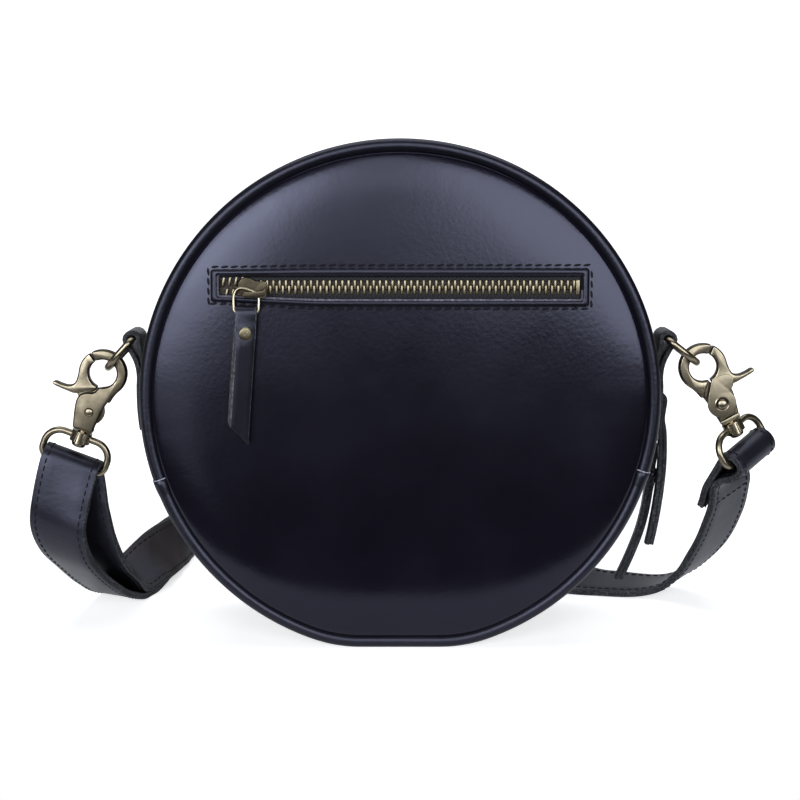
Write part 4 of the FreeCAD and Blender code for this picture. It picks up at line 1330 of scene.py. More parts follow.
@dataclass
class Shell:
    """Leather panels, piping and gusset. Sizes in millimetres."""

    finishes: Finishes
    count: int = 360
    panel_inset: float = 4.5
    panel_thick: float = 2.0
    cut_depth: float = 12.0
    piping_radius: float = 2.8
    piping_inset: float = 2.7
    piping_depth: float = 32.95
    piping_fineness: int = 5
    joint_sides: int = 20
    joint_angles: tuple[float, float] = (-15.76, 197.8)
    gusset_half: float = 30.4
    gusset_thick: float = 2.0
    zip_near: float = 6.0
    zip_far: float = 20.0
    seam: float = 20.5
    seam_lap: float = 1.2
    stitch_edge: float = 2.2
    stitch_inset: float = 0.12
    rim_roll: float = 1.5
    zip_roll: float = 1.2
    row_end: float = 2.0
    seam_edge: float = 2.0
    seam_step: float = 0.6
    thread_lift: float = 0.28
    fold_share: float = 0.66
    fold_step: float = 0.02

    # Height and rate of the leather's waves, and where it gathers near the rim
    wave: Flat = (0.1, 0.022)
    fine_wave: Flat = (0.012, 0.07)
    gather_start: float = 70.0
    gather_run: float = 27.0
    gather_lift: float = 0.045

    # Scale of each ring of a panel and its distance from the bag's middle
    crown: tuple[Flat, ...] = (
        (1.0, 31.9),
        (0.998, 33.6),
        (0.995, 34.7),
        (0.99, 35.35),
        (0.98, 35.8),
        (0.962, 36.3),
        (0.937, 36.88),
        (0.907, 37.4),
        (0.872, 37.82),
        (0.832, 38.13),
        (0.787, 38.34),
        (0.73, 38.46),
        (0.66, 38.5),
        (0.56, 38.5),
        (0.45, 38.55),
        (0.34, 38.55),
        (0.22, 38.55),
        (0.1, 38.55),
    )

    def rings(self, side: Side) -> list[Flat]:
        """Share of the radius and height of a panel's rings, which lie close where the plain one folds.

        Args:
            side: Face of the bag.

        Returns:
            The rings, from the rim inwards.
        """
        if side is Side.POCKET:
            return list(self.crown)
        outer = [(share, height) for share, height in self.crown if share > self.fold_share]
        last = self.crown[-1][1]
        steps = round(self.fold_share / self.fold_step)
        return outer + [(self.fold_step * step, last) for step in range(steps, 0, -1)]

    def panel(self, name: str, side: Side) -> Piece:
        """Raise a crowned panel from its rim, ring by ring.

        Args:
            name: Name of the piece.
            side: Face of the bag that it covers.

        Returns:
            The panel as a thin closed shell.
        """
        rings = self.rings(side)
        piece = hoop(name, OUTLINE.loop(self.count, self.panel_inset, side.value * rings[0][1]))
        with editing(piece):
            for (here, low), (there, high) in zip(rings[:-1], rings[1:]):
                step_in(there / here, side.value * (high - low))
            bpy.ops.mesh.merge(type="CENTER")
        self.ripple(piece, side)
        turn_outwards(piece)
        if sum(polygon.normal.y for polygon in piece.data.polygons) * side.value < 0.0:
            piece.data.flip_normals()
        thicken(piece, self.panel_thick)
        return piece

    def ripple(self, piece: Piece, side: Side) -> None:
        """Let the leather lie a little unevenly, gathered near the rim as a turned seam does.

        Args:
            piece: The panel before it gets its thickness.
            side: Face of the bag.
        """
        for vertex in piece.data.vertices:
            place = vertex.co / MM
            lift = 0.0
            for (height, rate), layer in ((self.wave, 40.0), (self.fine_wave, 90.0)):
                lift += height * noise.noise(Vector((place.x, layer * side.value, place.z)) * rate)
            rise = place.z - OUTLINE.centre
            reach = math.hypot(place.x, rise)
            if reach > self.gather_start:
                rim = min(1.0, (reach - self.gather_start) / self.gather_run)
                turn = Vector((place.x, rise, 0.0)) / reach
                gather = noise.noise(turn * 13.0 + UP * 7.0)
                gather += 0.7 * noise.noise(turn * 9.0 + UP * 3.0)
                lift += self.gather_lift * rim * rim * gather
            vertex.co.y += side.value * lift * MM

    def pocket_panel(self, pocket: "PocketZip") -> None:
        """Panel on the pocket side, with the zip's window cut out.

        Args:
            pocket: The zip, for the size of its window.
        """
        piece = self.panel("pocket_panel_leather", Side.POCKET)
        size = Vector((pocket.window_length, self.cut_depth, pocket.window_height))
        cutter = block("window", size, Vector((0.0, -PANEL_FACE, pocket.height)))
        cut = piece.modifiers.new("Window", "BOOLEAN")
        cut.operation = "DIFFERENCE"
        cut.solver = "EXACT"
        cut.object = cutter
        apply_modifiers(piece)
        bpy.data.objects.remove(cutter)
        smooth(piece, 35.0)
        hand_over(piece, "bag", ["pocket_panel"], "bag_leather", self.finishes.leather)

    def plain_panel(self) -> None:
        """Panel on the far side, which spans the flap's chord."""
        piece = self.panel("plain_panel_leather", Side.PLAIN)
        smooth(piece, 35.0)
        nodes = ["plain_panel_lower", "flap_panel"]
        hand_over(piece, ACROSS_FLAP, nodes, "bag_leather", self.finishes.leather)

    def piping(self, name: str, side: Side) -> Piece:
        """Round leather piping all along one rim."""
        line = OUTLINE.loop(self.count * 2, self.piping_inset, side.value * self.piping_depth)
        return tube(name, line, self.piping_radius, self.piping_fineness)

    def piping_joint(self, angle: float, side: Side) -> Piece:
        """Lapped end of the piping at one seam.

        Args:
            angle: Where the seam is.
            side: Face of the bag.

        Returns:
            The closed end.
        """
        share = OUTLINE.share_at(angle)
        down = 1.0 if angle > 90.0 else -1.0
        depth = side.value * self.piping_depth
        sections = []
        for step, swell in ((0.0, 0.0), (0.0005, 0.3), (0.0035, 0.34), (0.007, 0.22), (0.0105, 0.02)):
            middle, outward = OUTLINE.spot(share + down * step, self.piping_inset, depth)
            radius = self.piping_radius + swell
            loop = []
            for turn in full_turn(self.joint_sides):
                loop.append(middle + outward * (radius * math.cos(turn)) + AWAY * (radius * math.sin(turn)))
            sections.append(loop)
        return loft("piping_joint", sections)

    def joint_thread(self, angle: float, side: Side) -> Piece:
        """Pale thread that closes one piping joint.

        Args:
            angle: Where the joint is.
            side: Face of the bag.

        Returns:
            The stitches.
        """
        share = OUTLINE.share_at(angle)
        middle, outward = OUTLINE.spot(share, self.piping_inset, side.value * self.piping_depth)
        radius = self.piping_radius + self.thread_lift
        track = []
        for bow in spaced(-45.0, 135.0, 8):
            turn = math.radians(bow)
            up = outward * math.cos(turn) + AWAY * (side.value * math.sin(turn))
            track.append((middle + up * radius, up))
        return Stitch(length=2.6, width=0.5, pitch=2.1).row("joint_thread", track)

    def piped_rims(self) -> None:
        """Both rims, with the joints of their piping."""
        leather = self.finishes.piping
        front = self.piping("pocket_piping_leather", Side.POCKET)
        hand_over(front, "bag", ["pocket_piping_upper", "pocket_piping_lower"], "bag_leather", leather)
        back = self.piping("plain_piping_leather", Side.PLAIN)
        nodes = ["plain_piping_lower", "plain_piping_ends", "flap_piping"]
        hand_over(back, ACROSS_FLAP, nodes, "bag_leather", leather)
        ends = [(angle, side) for angle in self.joint_angles for side in Side]
        joints = join("piping_joints", [self.piping_joint(*end) for end in ends])
        smooth(joints, 60.0)
        hand_over(joints, "bag", [], "bag_leather", leather)
        threads = join("piping_joint_threads", [self.joint_thread(*end) for end in ends])
        hand_over(threads, "bag", [], "bag_leather", self.finishes.pale_thread)

    def strip(self, name: str, edges: Flat, run: Flat, rolls: Flat) -> Piece:
        """A strip of the gusset with rolled edges.

        Args:
            name: Name of the piece.
            edges: Its edges towards the pocket side and the plain side.
            run: Angles at which it begins and ends.
            rolls: How far each edge turns in.

        Returns:
            The closed strip.
        """
        near, far = edges
        first, last = rolls
        start, end = run
        outer = [(near, first), (near + 0.5, first * 0.45), (near + 1.6, first * 0.1), (near + 4.0, 0.0)]
        outer += [(near + (far - near) * share, 0.0) for share in (0.35, 0.5, 0.65)]
        outer += [(far - 4.0, 0.0), (far - 1.6, last * 0.1), (far - 0.5, last * 0.45), (far, last)]
        inner = [(far - 0.1, self.gusset_thick), (near + 0.1, self.gusset_thick)]
        parts = [Part.FACE] * (len(outer) - 1) + [Part.EDGE, Part.BACK, Part.EDGE]
        length = OUTLINE.radius * math.radians((end - start) % 360.0)
        shares = OUTLINE.shares(start, end, max(4, int(length / 2.4)))
        piece = loft(name, OUTLINE.sweep(shares, outer + inner), parts)
        smooth(piece, 50.0)
        return piece

    def track(self, depth: float, start: float, end: float) -> list[Station]:
        """Line on the gusset at one depth, for a row of stitches."""
        return [OUTLINE.spot(share, self.stitch_inset, depth) for share in OUTLINE.shares(start, end, 400)]

    def seam_track(self, angle: float) -> list[Station]:
        """Line across the gusset at one angle."""
        half = self.gusset_half - self.seam_edge
        return [OUTLINE.spot(OUTLINE.share_at(angle), self.stitch_inset, depth) for depth in (-half, half)]

    def gusset(self) -> None:
        """Lower length and the two strips beside the main zip, with their seams."""
        half = self.gusset_half
        first = -self.seam
        last = 180.0 + self.seam
        base = (last - self.seam_lap, first + self.seam_lap)
        leathers = (self.finishes.leather, self.finishes.edge, self.finishes.back)
        rolls = (self.rim_roll, self.zip_roll)
        lower = self.strip("lower_gusset_leather", (-half, half), base, (self.rim_roll, self.rim_roll))
        hand_over(lower, "bag", ["lower_gusset"], "bag_leather", *leathers)
        wide = self.strip("wide_strip_leather", (-half, self.zip_near), (first, last), rolls)
        hand_over(wide, "bag", ["wide_zip_strip"], "bag_leather", *leathers)
        narrow = self.strip("narrow_strip_leather", (self.zip_far, half), (first, last), rolls[::-1])
        hand_over(narrow, ACROSS_FLAP, ["narrow_strip_ends", "flap_zip_strip"], "bag_leather", *leathers)
        stitch = Stitch()
        start = first + self.row_end
        end = last - self.row_end
        wide_track = self.track(self.zip_near - self.stitch_edge, start, end)
        rows = [stitch.row("wide_row", wide_track)]
        for angle in (first - self.seam_step, last + self.seam_step):
            rows.append(stitch.row("seam_row", self.seam_track(angle)))
        hand_over(join("gusset_stitches", rows), "bag", [], "bag_leather", self.finishes.thread)
        narrow_track = self.track(self.zip_far + self.stitch_edge, start, end)
        moving = stitch.row("narrow_strip_stitches", narrow_track)
        hand_over(moving, ACROSS_FLAP, [], "bag_leather", self.finishes.thread)

    def build(self, pocket: "PocketZip") -> None:
        """Make the whole shell.

        Args:
            pocket: The zip, for the size of its window.
        """
        self.pocket_panel(pocket)
        self.plain_panel()
        self.piped_rims()
        self.gusset()


# Zips


@dataclass(frozen=True)
class Tooth:
    """One metal tooth. It points along +X from its tape. Sizes in millimetres."""

    length: float = 3.9
    height: float = 2.4
    thick: float = 1.05
    rounding: float = 0.32

    def model(self) -> Piece:
        """Model a tooth with rounded edges."""
        return block("tooth", Vector((self.length, self.height, self.thick)), Vector(), self.rounding, 2)


@dataclass
class PocketZip:
    """Zip of the pocket: frame, tapes, teeth, slider, ring and pull tab. Sizes in millimetres."""

    finishes: Finishes
    height: float = 150.3
    window_length: float = 146.0
    window_height: float = 10.6
    chain_depth: float = -36.05
    pitch: float = 2.5
    slider_place: float = -58.8
    chain_left: float = -72.0
    chain_right: float = 70.0
    row_reach: float = 3.0
    tape_half: float = 76.0
    frame_half: float = 75.7
    frame_rise: float = 8.0
    seam_half: float = 76.4
    seam_rise: float = 8.7
    ring_shift: float = -2.3
    slider_face: float = -38.8
    ring_top: float = -39.72
    ring_foot: float = -41.3
    ring_drop: float = 9.5
    tab_width: float = 8.5
    tab_thick: float = 1.6
    tab_twist: float = 30.0
    tab_length: float = 48.6
    ring_wire: float = 0.68
    tab_sway: float = 3.9
    tab_slant: float = 10.2
    rivet_drop: float = 8.3
    tab_lean: float = 1.9
    twist_run: float = 14.0
    fold_gap: float = 0.14
    layer_gap: float = 0.05
    seam_lift: float = 0.2
    stitch_rise: float = 0.1

    # Room at both ends of the rows of teeth, and how they part to the left of the slider
    row_start: float = 0.5
    row_end: float = 1.2
    part_most: float = 1.7
    part_rate: float = 0.5
    meet_rate: float = 0.045
    part_fan: float = 11.0

    # Where the frame's left end begins, over what run it changes, its share of the height and its lift
    sewn_start: float = -76.0
    sewn_run: float = 50.0
    sewn_share: float = 0.84
    sewn_lift: float = 0.7

    @staticmethod
    def depth(x: float, z: float) -> float:
        """How far the crowned panel stands out at a place.

        Args:
            x: Place across.
            z: Height.

        Returns:
            Distance from the bag's middle.
        """
        share = math.hypot(x, z - OUTLINE.centre) / (OUTLINE.radius - Shell.panel_inset)
        for (here, low), (there, high) in zip(Shell.crown[:-1], Shell.crown[1:]):
            if share >= there:
                return low + (high - low) * (min(share, here) - here) / (there - here)
        return Shell.crown[-1][1]

    def lips(self) -> None:
        """Padded leather frame of the window with its folded edges."""
        inner = self.rounded(self.window_length / 2.0, self.window_height / 2.0, 1.2)
        outer = self.rounded(self.frame_half, self.frame_rise, 1.6)
        puff = ((0.0, 0.2), (0.08, 0.55), (0.28, 0.72), (0.52, 0.62), (0.76, 0.38), (0.93, 0.08), (1.0, -0.4))
        fold = ((0.0, -1.9), (-0.85, -1.5), (-0.98, -0.6), (-0.78, -0.05))
        sections = []
        for (x, z, out_x, out_z), (far_x, far_z, _, _) in zip(inner, outer):
            near = Vector((x, 0.0, self.sewn(x, z) + self.height))
            far = Vector((far_x, 0.0, self.sewn(far_x, far_z) + self.height))
            outward = Vector((out_x, 0.0, out_z))
            line = [(near + outward * side, lift) for side, lift in fold]
            line += [(near.lerp(far, share), lift) for share, lift in puff]
            sections.append([Vector((at.x, -self.depth(at.x, at.z) - lift, at.z)) for at, lift in line])
        parts = [Part.FACE] * (len(fold) + len(puff))
        # The fold's edge side takes the pale lip finish, a painted highlight on the lower lip and the ends;
        # the top lip, which lies in shade, keeps the leather
        parts[3] = Part.EDGE
        piece = loft("pocket_frame", sections, parts, ring=True)
        for polygon in piece.data.polygons:
            at_end = polygon.center.x < -0.985 * self.window_length / 2.0 * MM
            if polygon.center.z > (self.height - 1.0) * MM and not at_end:
                polygon.material_index = Part.FACE.value
        smooth(piece, 60.0)
        hand_over(piece, "bag", ["pocket_welt"], "bag_leather", self.finishes.piping, self.finishes.lip_highlight_edge)

    def stitches(self) -> None:
        """Row of stitches round the frame."""
        rows = []
        corners = [(-1, -1), (1, -1), (1, 1), (-1, 1), (-1, -1)]
        for first, second in zip(corners[:-1], corners[1:]):
            track = []
            for share in spaced(0.0, 1.0, 40):
                x = self.seam_half * (first[0] + (second[0] - first[0]) * share)
                rise = self.seam_rise * (first[1] + (second[1] - first[1]) * share)
                z = self.height + self.seam_lift + self.sewn(x, rise)
                track.append((Vector((x, -self.depth(x, z) - self.stitch_rise, z)), -AWAY))
            rows.append(Stitch(length=3.1, width=1.0, pitch=3.9).row("pocket_row", track, slant=7.0))
        hand_over(join("pocket_stitches", rows), "bag", [], "bag_leather", self.finishes.thread)

    @staticmethod
    def rounded(half: float, rise: float, radius: float) -> list[FourNumbers]:
        """Points and outward directions of a rounded rectangle.

        Args:
            half: Half its width.
            rise: Half its height.
            radius: Radius of its corners.

        Returns:
            X, Z and the outward direction's X and Z of each point.
        """
        result = []
        corners = ((1, -1, -90.0), (1, 1, 0.0), (-1, 1, 90.0), (-1, -1, 180.0))
        for index, (side_x, side_z, start) in enumerate(corners):
            for angle in spaced(start, start + 90.0, 6):
                turn = math.radians(angle)
                out_x = math.cos(turn)
                out_z = math.sin(turn)
                x = side_x * (half - radius) + radius * out_x
                z = side_z * (rise - radius) + radius * out_z
                result.append((x, z, out_x, out_z))
            next_x, next_z, _ = corners[(index + 1) % 4]
            end_x = next_x * (half - radius) + radius * out_x
            end_z = next_z * (rise - radius) + radius * out_z
            for share in spaced(0.0, 1.0, 40)[1:-1]:
                result.append((x + (end_x - x) * share, z + (end_z - z) * share, out_x, out_z))
        return result

    def sewn(self, x: float, z: float) -> float:
        """Height of a point of the frame, which is sewn a little higher and narrower at its left end."""
        share = ease(min(1.0, max(0.0, (x - self.sewn_start) / self.sewn_run)))
        return z * (self.sewn_share + (1.0 - self.sewn_share) * share) + self.sewn_lift * (1.0 - share)

    def tooth_place(self, x: float, side: int, apart: float, fan: float) -> Matrix:
        """Where one tooth stands on the upper (+1) or lower (-1) tape, fanned by an angle in degrees.

        Args:
            x: Place across.
            side: Which tape.
            apart: How far it stands off the closed chain.
            fan: The angle.

        Returns:
            Its frame, in metres.
        """
        middle = self.height + side * (self.row_reach - Tooth.length / 2.0 + apart)
        place = Vector((x, self.chain_depth, middle))
        upright = frame_matrix(place, UP * -side, Vector((1.0, 0.0, 0.0)))
        return upright @ Matrix.Rotation(math.radians(fan), 4, "Y")

    def teeth(self) -> None:
        """Both rows, closed to the right of the slider and fanned open to its left."""
        places = []
        for side, offset in ((1, 0.0), (-1, self.pitch / 2.0)):
            x = self.chain_right - self.row_start - offset
            while x > self.chain_left + self.row_end:
                past = self.slider_place - x
                apart = 0.0
                fan = 0.0
                if past > 0.0:
                    apart = min(self.part_most, past * self.part_rate) - self.meet_rate * past
                    fan = self.part_fan * side
                places.append(self.tooth_place(x, side, apart, fan))
                x -= self.pitch
        piece = copies("pocket_teeth", Tooth().model(), places)
        smooth(piece, 60.0)
        nodes = ["pocket_teeth_upper", "pocket_teeth_lower"]
        hand_over(piece, "bag", nodes, "zip_metal", self.finishes.teeth)

    def tapes(self) -> None:
        """Woven tapes with a corded edge along the teeth."""
        under = [(12.0, -0.35), (4.4, -0.35), (3.9, -0.75), (3.2, -0.85), (2.7, -0.4)]
        profile = under + [(rise, -deep) for rise, deep in reversed(under)]
        for side, node in ((1, "pocket_tape_upper"), (-1, "pocket_tape_lower")):
            sections = []
            for x in (-self.tape_half, -40.0, 0.0, 40.0, self.tape_half):
                loop = []
                for rise, deep in profile:
                    loop.append(Vector((x, self.chain_depth + deep, self.height + side * rise)))
                sections.append(loop)
            piece = loft(node + "_weave", sections)
            smooth(piece, 50.0)
            hand_over(piece, "bag", [node], "zip_tape", self.finishes.tape)

    def slider(self) -> None:
        """Slider with a sculpted top, whose tongue curls over the ring."""
        place = Matrix.Translation(Vector((self.slider_place, 0.0, self.height)))
        crest = [(-5.9, -1.2), (-5.8, 0.6), (-5.2, 2.6), (-4.3, 3.7)]
        crest += [(-1.4, 3.95), (0.1, 3.2), (1.7, 2.55), (5.2, 2.6)]
        shield = flowing(crest)
        shield += [(5.75, 2.3), (6.0, -2.6), (5.6, -3.6), (-4.2, -3.8), (-5.4, -2.9)]
        top = casting("slider_top", shield, (self.slider_face, -33.3), (0.5, 0.6), place, 3)
        curl = flowing([(-3.7, -1.9), (-3.4, -1.6), (0.2, -1.45), (3.6, -1.0), (4.9, -0.2), (5.5, 0.9)])
        curl += [(5.95, 0.6), (6.0, -2.8), (5.3, -3.75), (-3.2, -3.8), (-3.75, -3.3)]
        tongue = casting("slider_tongue", curl, (-42.5, -40.6), (0.6, 0.8), place, 3)
        post = [(4.5, -3.4), (5.8, -3.4), (5.8, 0.3), (4.5, -0.3)]
        heel = casting("slider_heel", post, (-41.5, -38.0), (0.2, 0.2), place, 2)
        piece = join("pocket_slider_metal", [top, tongue, heel])
        smooth(piece, 45.0)
        # The front takes the dark brass and the rims that turn away from it the lighter brass: a painted
        # highlight along the rims
        mark_rims(piece, AWAY, 0.9)
        metals = (self.finishes.dark_brass_and_rim_shade, self.finishes.brass)
        hand_over(piece, "pocket_slider", ["pocket_slider"], "antique_brass", *metals)

    def ring(self) -> None:
        """Wire ring that runs under the slider's tongue and carries the pull tab."""
        top = self.ring_top
        foot = self.ring_foot
        low = -self.ring_drop
        route = (
            (-5.0, top - 0.7, -3.4),
            (-4.5, top - 0.25, -1.5),
            (-3.3, top, -0.4),
            (-1.9, top, -0.1),
            (-0.4, top, -0.3),
            (1.4, top, -0.9),
            (3.2, top, -1.6),
            (4.5, top - 0.4, -2.5),
            (5.0, top - 0.8, -3.9),
            (5.0, foot + 0.3, -6.8),
            (4.75, foot + 0.1, -8.9),
            (3.9, foot, low),
            (0.0, foot, low),
            (-3.9, foot, low),
            (-4.75, foot + 0.1, -8.9),
            (-5.0, foot + 0.3, -6.8),
        )
        hang = self.slider_place + self.ring_shift
        points = [Vector((hang + x, y, self.height + z)) for x, y, z in route]
        piece = tube("pocket_pull_ring_metal", closed_curve(points), self.ring_wire, 4)
        hand_over(piece, "pocket_ring", ["pocket_pull_ring"], "antique_brass", self.finishes.brass)

    def tab_place(self, drop: float) -> tuple[Vector, Vector, Vector]:
        """Middle, direction across and outward direction of the hanging tab below its ring.

        Args:
            drop: Distance below the ring's foot.

        Returns:
            The three vectors.
        """
        share = ease(min(1.0, drop / self.twist_run))
        twist = math.radians(self.tab_twist * share)
        level = self.height - self.ring_drop - drop
        middle = Vector((self.slider_place + self.ring_shift, self.ring_foot, level))
        middle += Vector((-self.tab_sway * drop / self.tab_length, -self.tab_lean * share, 0.0))
        across = Vector((math.cos(twist), math.sin(twist), 0.0))
        return middle, across, Vector((math.sin(twist), -math.cos(twist), 0.0))

    def pull(self) -> None:
        """Folded leather tab that hangs from the ring, a little turned, its end cut on a slant."""
        bend = self.ring_wire + self.fold_gap + self.tab_thick / 2.0
        layer = self.tab_thick / 2.0 + self.layer_gap
        sides = []
        for direction in (1.0, -1.0):
            side = []
            for drop, apart in ((4.5, 1.35), (9.0, 1.0), (14.0, 1.0), (26.0, 1.0), (40.0, 1.0), (58.0, 1.0)):
                middle, across, outward = self.tab_place(drop)
                side.append((middle + outward * (direction * layer * apart), across))
            sides.append(side)
        bar, across, _ = self.tab_place(0.0)
        fold = []
        for turn in range(180, -1, -30):
            angle = math.radians(turn)
            fold.append((bar + Vector((0.0, bend * math.cos(angle), bend * math.sin(angle))), across))
        stations = list(reversed(sides[0])) + fold + sides[1]
        piece = Ribbon("pull_tab_leather", self.tab_width, self.tab_thick, step=1.2).build(stations)
        end, _, _ = self.tab_place(self.tab_length)
        normal = Vector((-self.tab_slant, 0.0, -self.tab_width)).normalized()
        with editing(piece):
            bpy.ops.mesh.bisect(plane_co=end * MM, plane_no=normal, use_fill=True, clear_outer=True)
        for polygon in piece.data.polygons:
            if abs(polygon.normal.dot(normal)) > 0.99:
                polygon.material_index = Part.EDGE.value
        leathers = (self.finishes.back, self.finishes.cut_edge, self.finishes.strap)
        hand_over(piece, "pocket_pull", ["pocket_pull_tab"], "pull_leather", *leathers)

    def rivet(self) -> None:
        """Flat rivet through both layers of the tab."""
        middle, across, outward = self.tab_place(self.rivet_drop)
        half = self.tab_thick + self.layer_gap
        cap = ((2.75, -0.25), (2.85, 0.1), (2.75, 0.4), (2.35, 0.62), (1.5, 0.72), (0.7, 0.76), (0.05, 0.77))
        heads = []
        for way in (1.0, -1.0):
            axes = (across * way, across.cross(outward * -way) * -1.0, outward * way)
            turn = Matrix(axes).transposed().to_4x4()
            heads.append(turned("head", cap, Matrix.Translation(middle + outward * (way * half)) @ turn))
        piece = join("pocket_pull_rivet_metal", heads)
        smooth(piece, 50.0)
        hand_over(piece, "pocket_pull", ["pocket_pull_rivet"], "antique_brass", self.finishes.teeth)

    def build(self) -> None:
        """Make the whole zip."""
        self.lips()
        self.stitches()
        self.teeth()
        self.tapes()
        self.slider()
        self.ring()
        self.pull()
        self.rivet()


@dataclass
class MainZip:
    """Zip round the side: tapes, teeth and the thongs on its sliders. Sizes in millimetres."""

    finishes: Finishes
    middle: float = 13.0
    level: float = 103.55
    pitch: float = 2.5
    chain_end: float = 18.5
    open_low: float = -14.66
    open_high: float = -2.34
    row_reach: float = 3.0
    tape_end: float = 20.4
    bail_reach: float = 111.65
    upper_angle: float = -3.0
    lower_angle: float = -14.0
    thong_length: float = 62.0
    thong_width: float = 4.4
    thong_thick: float = 1.8
    loop_radius: float = 3.1
    loop_place: Vector = Vector((1.3, 0.0, -0.4))
    layer_gap: float = 0.03
    wide_hem: float = 3.0
    narrow_hem: float = 23.0
    knot_place: Vector = Vector((2.5, 0.0, -12.2))

    # Share of the length, sideways step and step in depth along each thong's tails
    upper_route: tuple[tuple[float, float, float], ...] = (
        (0.13, 2.3, -1.8),
        (0.22, 2.8, -4.0),
        (0.42, 2.8, -5.8),
        (0.6, 2.0, -6.2),
        (0.76, 0.8, -6.2),
        (0.9, -0.6, -6.2),
        (1.02, -2.1, -6.2),
    )
    lower_route: tuple[tuple[float, float, float], ...] = (
        (0.13, 2.2, 0.0),
        (0.21, 2.4, 0.0),
        (0.31, 1.3, 0.0),
        (0.45, 0.0, 0.0),
        (0.6, -2.2, 0.0),
        (0.78, -6.2, 0.0),
        (0.96, -11.0, 0.0),
    )

    def teeth(self, name: str, side: int) -> Piece:
        """One row of teeth, on the wide strip's tape (-1) or the other one (+1).

        Args:
            name: Name of the piece.
            side: Which tape.

        Returns:
            The row.
        """
        step = math.degrees(self.pitch / self.level)
        depth = self.middle + side * (self.row_reach - Tooth.length / 2.0)
        places = []
        angle = -self.chain_end + (0.0 if side < 0 else step / 2.0)
        while angle < 180.0 + self.chain_end - step:
            if not self.open_low < angle < self.open_high:
                place, outward = OUTLINE.spot(OUTLINE.share_at(angle), OUTLINE.radius - self.level, depth)
                tangent = Vector((-outward.z, 0.0, outward.x))
                places.append(frame_matrix(place, AWAY * -side, tangent))
            angle += step
        piece = copies(name, Tooth().model(), places)
        smooth(piece, 60.0)
        return piece

    def tape(self, name: str, root: float, hem: float) -> Piece:
        """Woven tape under one strip, with a corded edge at its root.

        Args:
            name: Name of the piece.
            root: Depth of its root.
            hem: Depth of its other edge.

        Returns:
            The tape.
        """
        way = 1.0 if hem > root else -1.0
        cord = [(1.4, 2.15), (0.9, 1.7), (0.2, 1.6), (-0.3, 2.1)]
        cord += [(-0.3, 2.8), (0.2, 3.3), (0.9, 3.2), (1.4, 2.75)]
        profile = [(root + way * step, inset) for step, inset in cord]
        profile = [(hem, cord[0][1])] + profile + [(hem, cord[-1][1])]
        shares = OUTLINE.shares(-self.tape_end, 180.0 + self.tape_end, 150)
        piece = loft(name, OUTLINE.sweep(shares, profile))
        smooth(piece, 50.0)
        return piece

    def thong(self, name: str, angle: float, route: Sequence[tuple[float, float, float]]) -> Piece:
        """Lace folded round a slider's bail.

        Args:
            name: Name of the piece.
            angle: The slider's angle on the bag.
            route: Share of the length, sideways step and step in depth of the two tails.

        Returns:
            The thong.
        """
        bar = self.bail(angle)
        loop = bar + self.loop_place
        spread = self.thong_thick / 2.0 + self.layer_gap
        tails = []
        for way in (-spread, spread):
            tail = []
            for share, sideways, deep in route:
                tail.append((bar + Vector((sideways + way, deep, -share * self.thong_length)), AWAY))
            tails.append(tail)
        stations = tails[0][::-1]
        for bow in range(180, -1, -30):
            curl = math.radians(bow)
            stations.append((loop + Vector((math.cos(curl), 0.0, math.sin(curl))) * self.loop_radius, AWAY))
        return Ribbon(name, self.thong_width, self.thong_thick, step=1.2).build(stations + tails[1])

    def bail(self, angle: float) -> Vector:
        """Middle of the bail of a slider at an angle on the bag."""
        return round_point(self.bail_reach, angle, self.middle)

    def knot(self) -> Piece:
        """Wrapped turn of lace that holds the lower thong's two tails together.

        Returns:
            The closed turn of lace.
        """
        middle = self.bail(self.lower_angle) + self.knot_place
        sections = []
        for bow in full_turn(28):
            outward = Vector((math.cos(bow), math.sin(bow), 0.0))
            reach = 2.05 + 0.55 * abs(math.sin(bow)) ** 0.7
            rise = 0.9 * math.cos(bow)
            ring = middle + Vector((outward.x * reach, outward.y * (reach + 0.25), rise))
            loop = []
            for curl in full_turn(8):
                loop.append(ring + outward * (0.75 * math.cos(curl)) + UP * (1.7 * math.sin(curl)))
            sections.append(loop)
        piece = loft("lower_thong_knot", sections, ring=True)
        smooth(piece, 60.0)
        return piece

    def build(self) -> None:
        """Make the whole zip."""
        metal = self.finishes.teeth
        weave = self.finishes.tape
        hand_over(self.teeth("wide_teeth", -1), "bag", ["main_teeth_wide"], "zip_metal", metal)
        far_nodes = ["flap_teeth", "narrow_teeth_ends"]
        hand_over(self.teeth("narrow_teeth", 1), ACROSS_FLAP, far_nodes, "zip_metal", metal)
        near = self.tape("wide_tape_weave", self.middle - self.row_reach, self.wide_hem)
        hand_over(near, "bag", ["main_tape_wide"], "zip_tape", weave)
        far = self.tape("narrow_tape_weave", self.middle + self.row_reach, self.narrow_hem)
        hand_over(far, ACROSS_FLAP, ["flap_tape", "narrow_tape_ends"], "zip_tape", weave)
        leathers = (self.finishes.strap, self.finishes.edge, self.finishes.back)
        upper = self.thong("upper_thong_leather", self.upper_angle, self.upper_route)
        hand_over(upper, "upper_thong", ["upper_thong"], "pull_leather", *leathers)
        lower = self.thong("lower_thong_leather", self.lower_angle, self.lower_route)
        hand_over(lower, "lower_thong", ["lower_thong"], "pull_leather", *leathers)
        hand_over(self.knot(), "lower_thong", [], "pull_leather", self.finishes.strap)


# Strap, side tabs and metal


TAB_DEPTH = -8.0
BAR_DISTANCE = 114.0
BAR_ANGLE = 12.0


def side_point(radius: float, angle: float) -> Vector:
    """Point in the side tabs' plane on the right of the bag, at a radius and an angle."""
    return round_point(radius, angle, TAB_DEPTH)


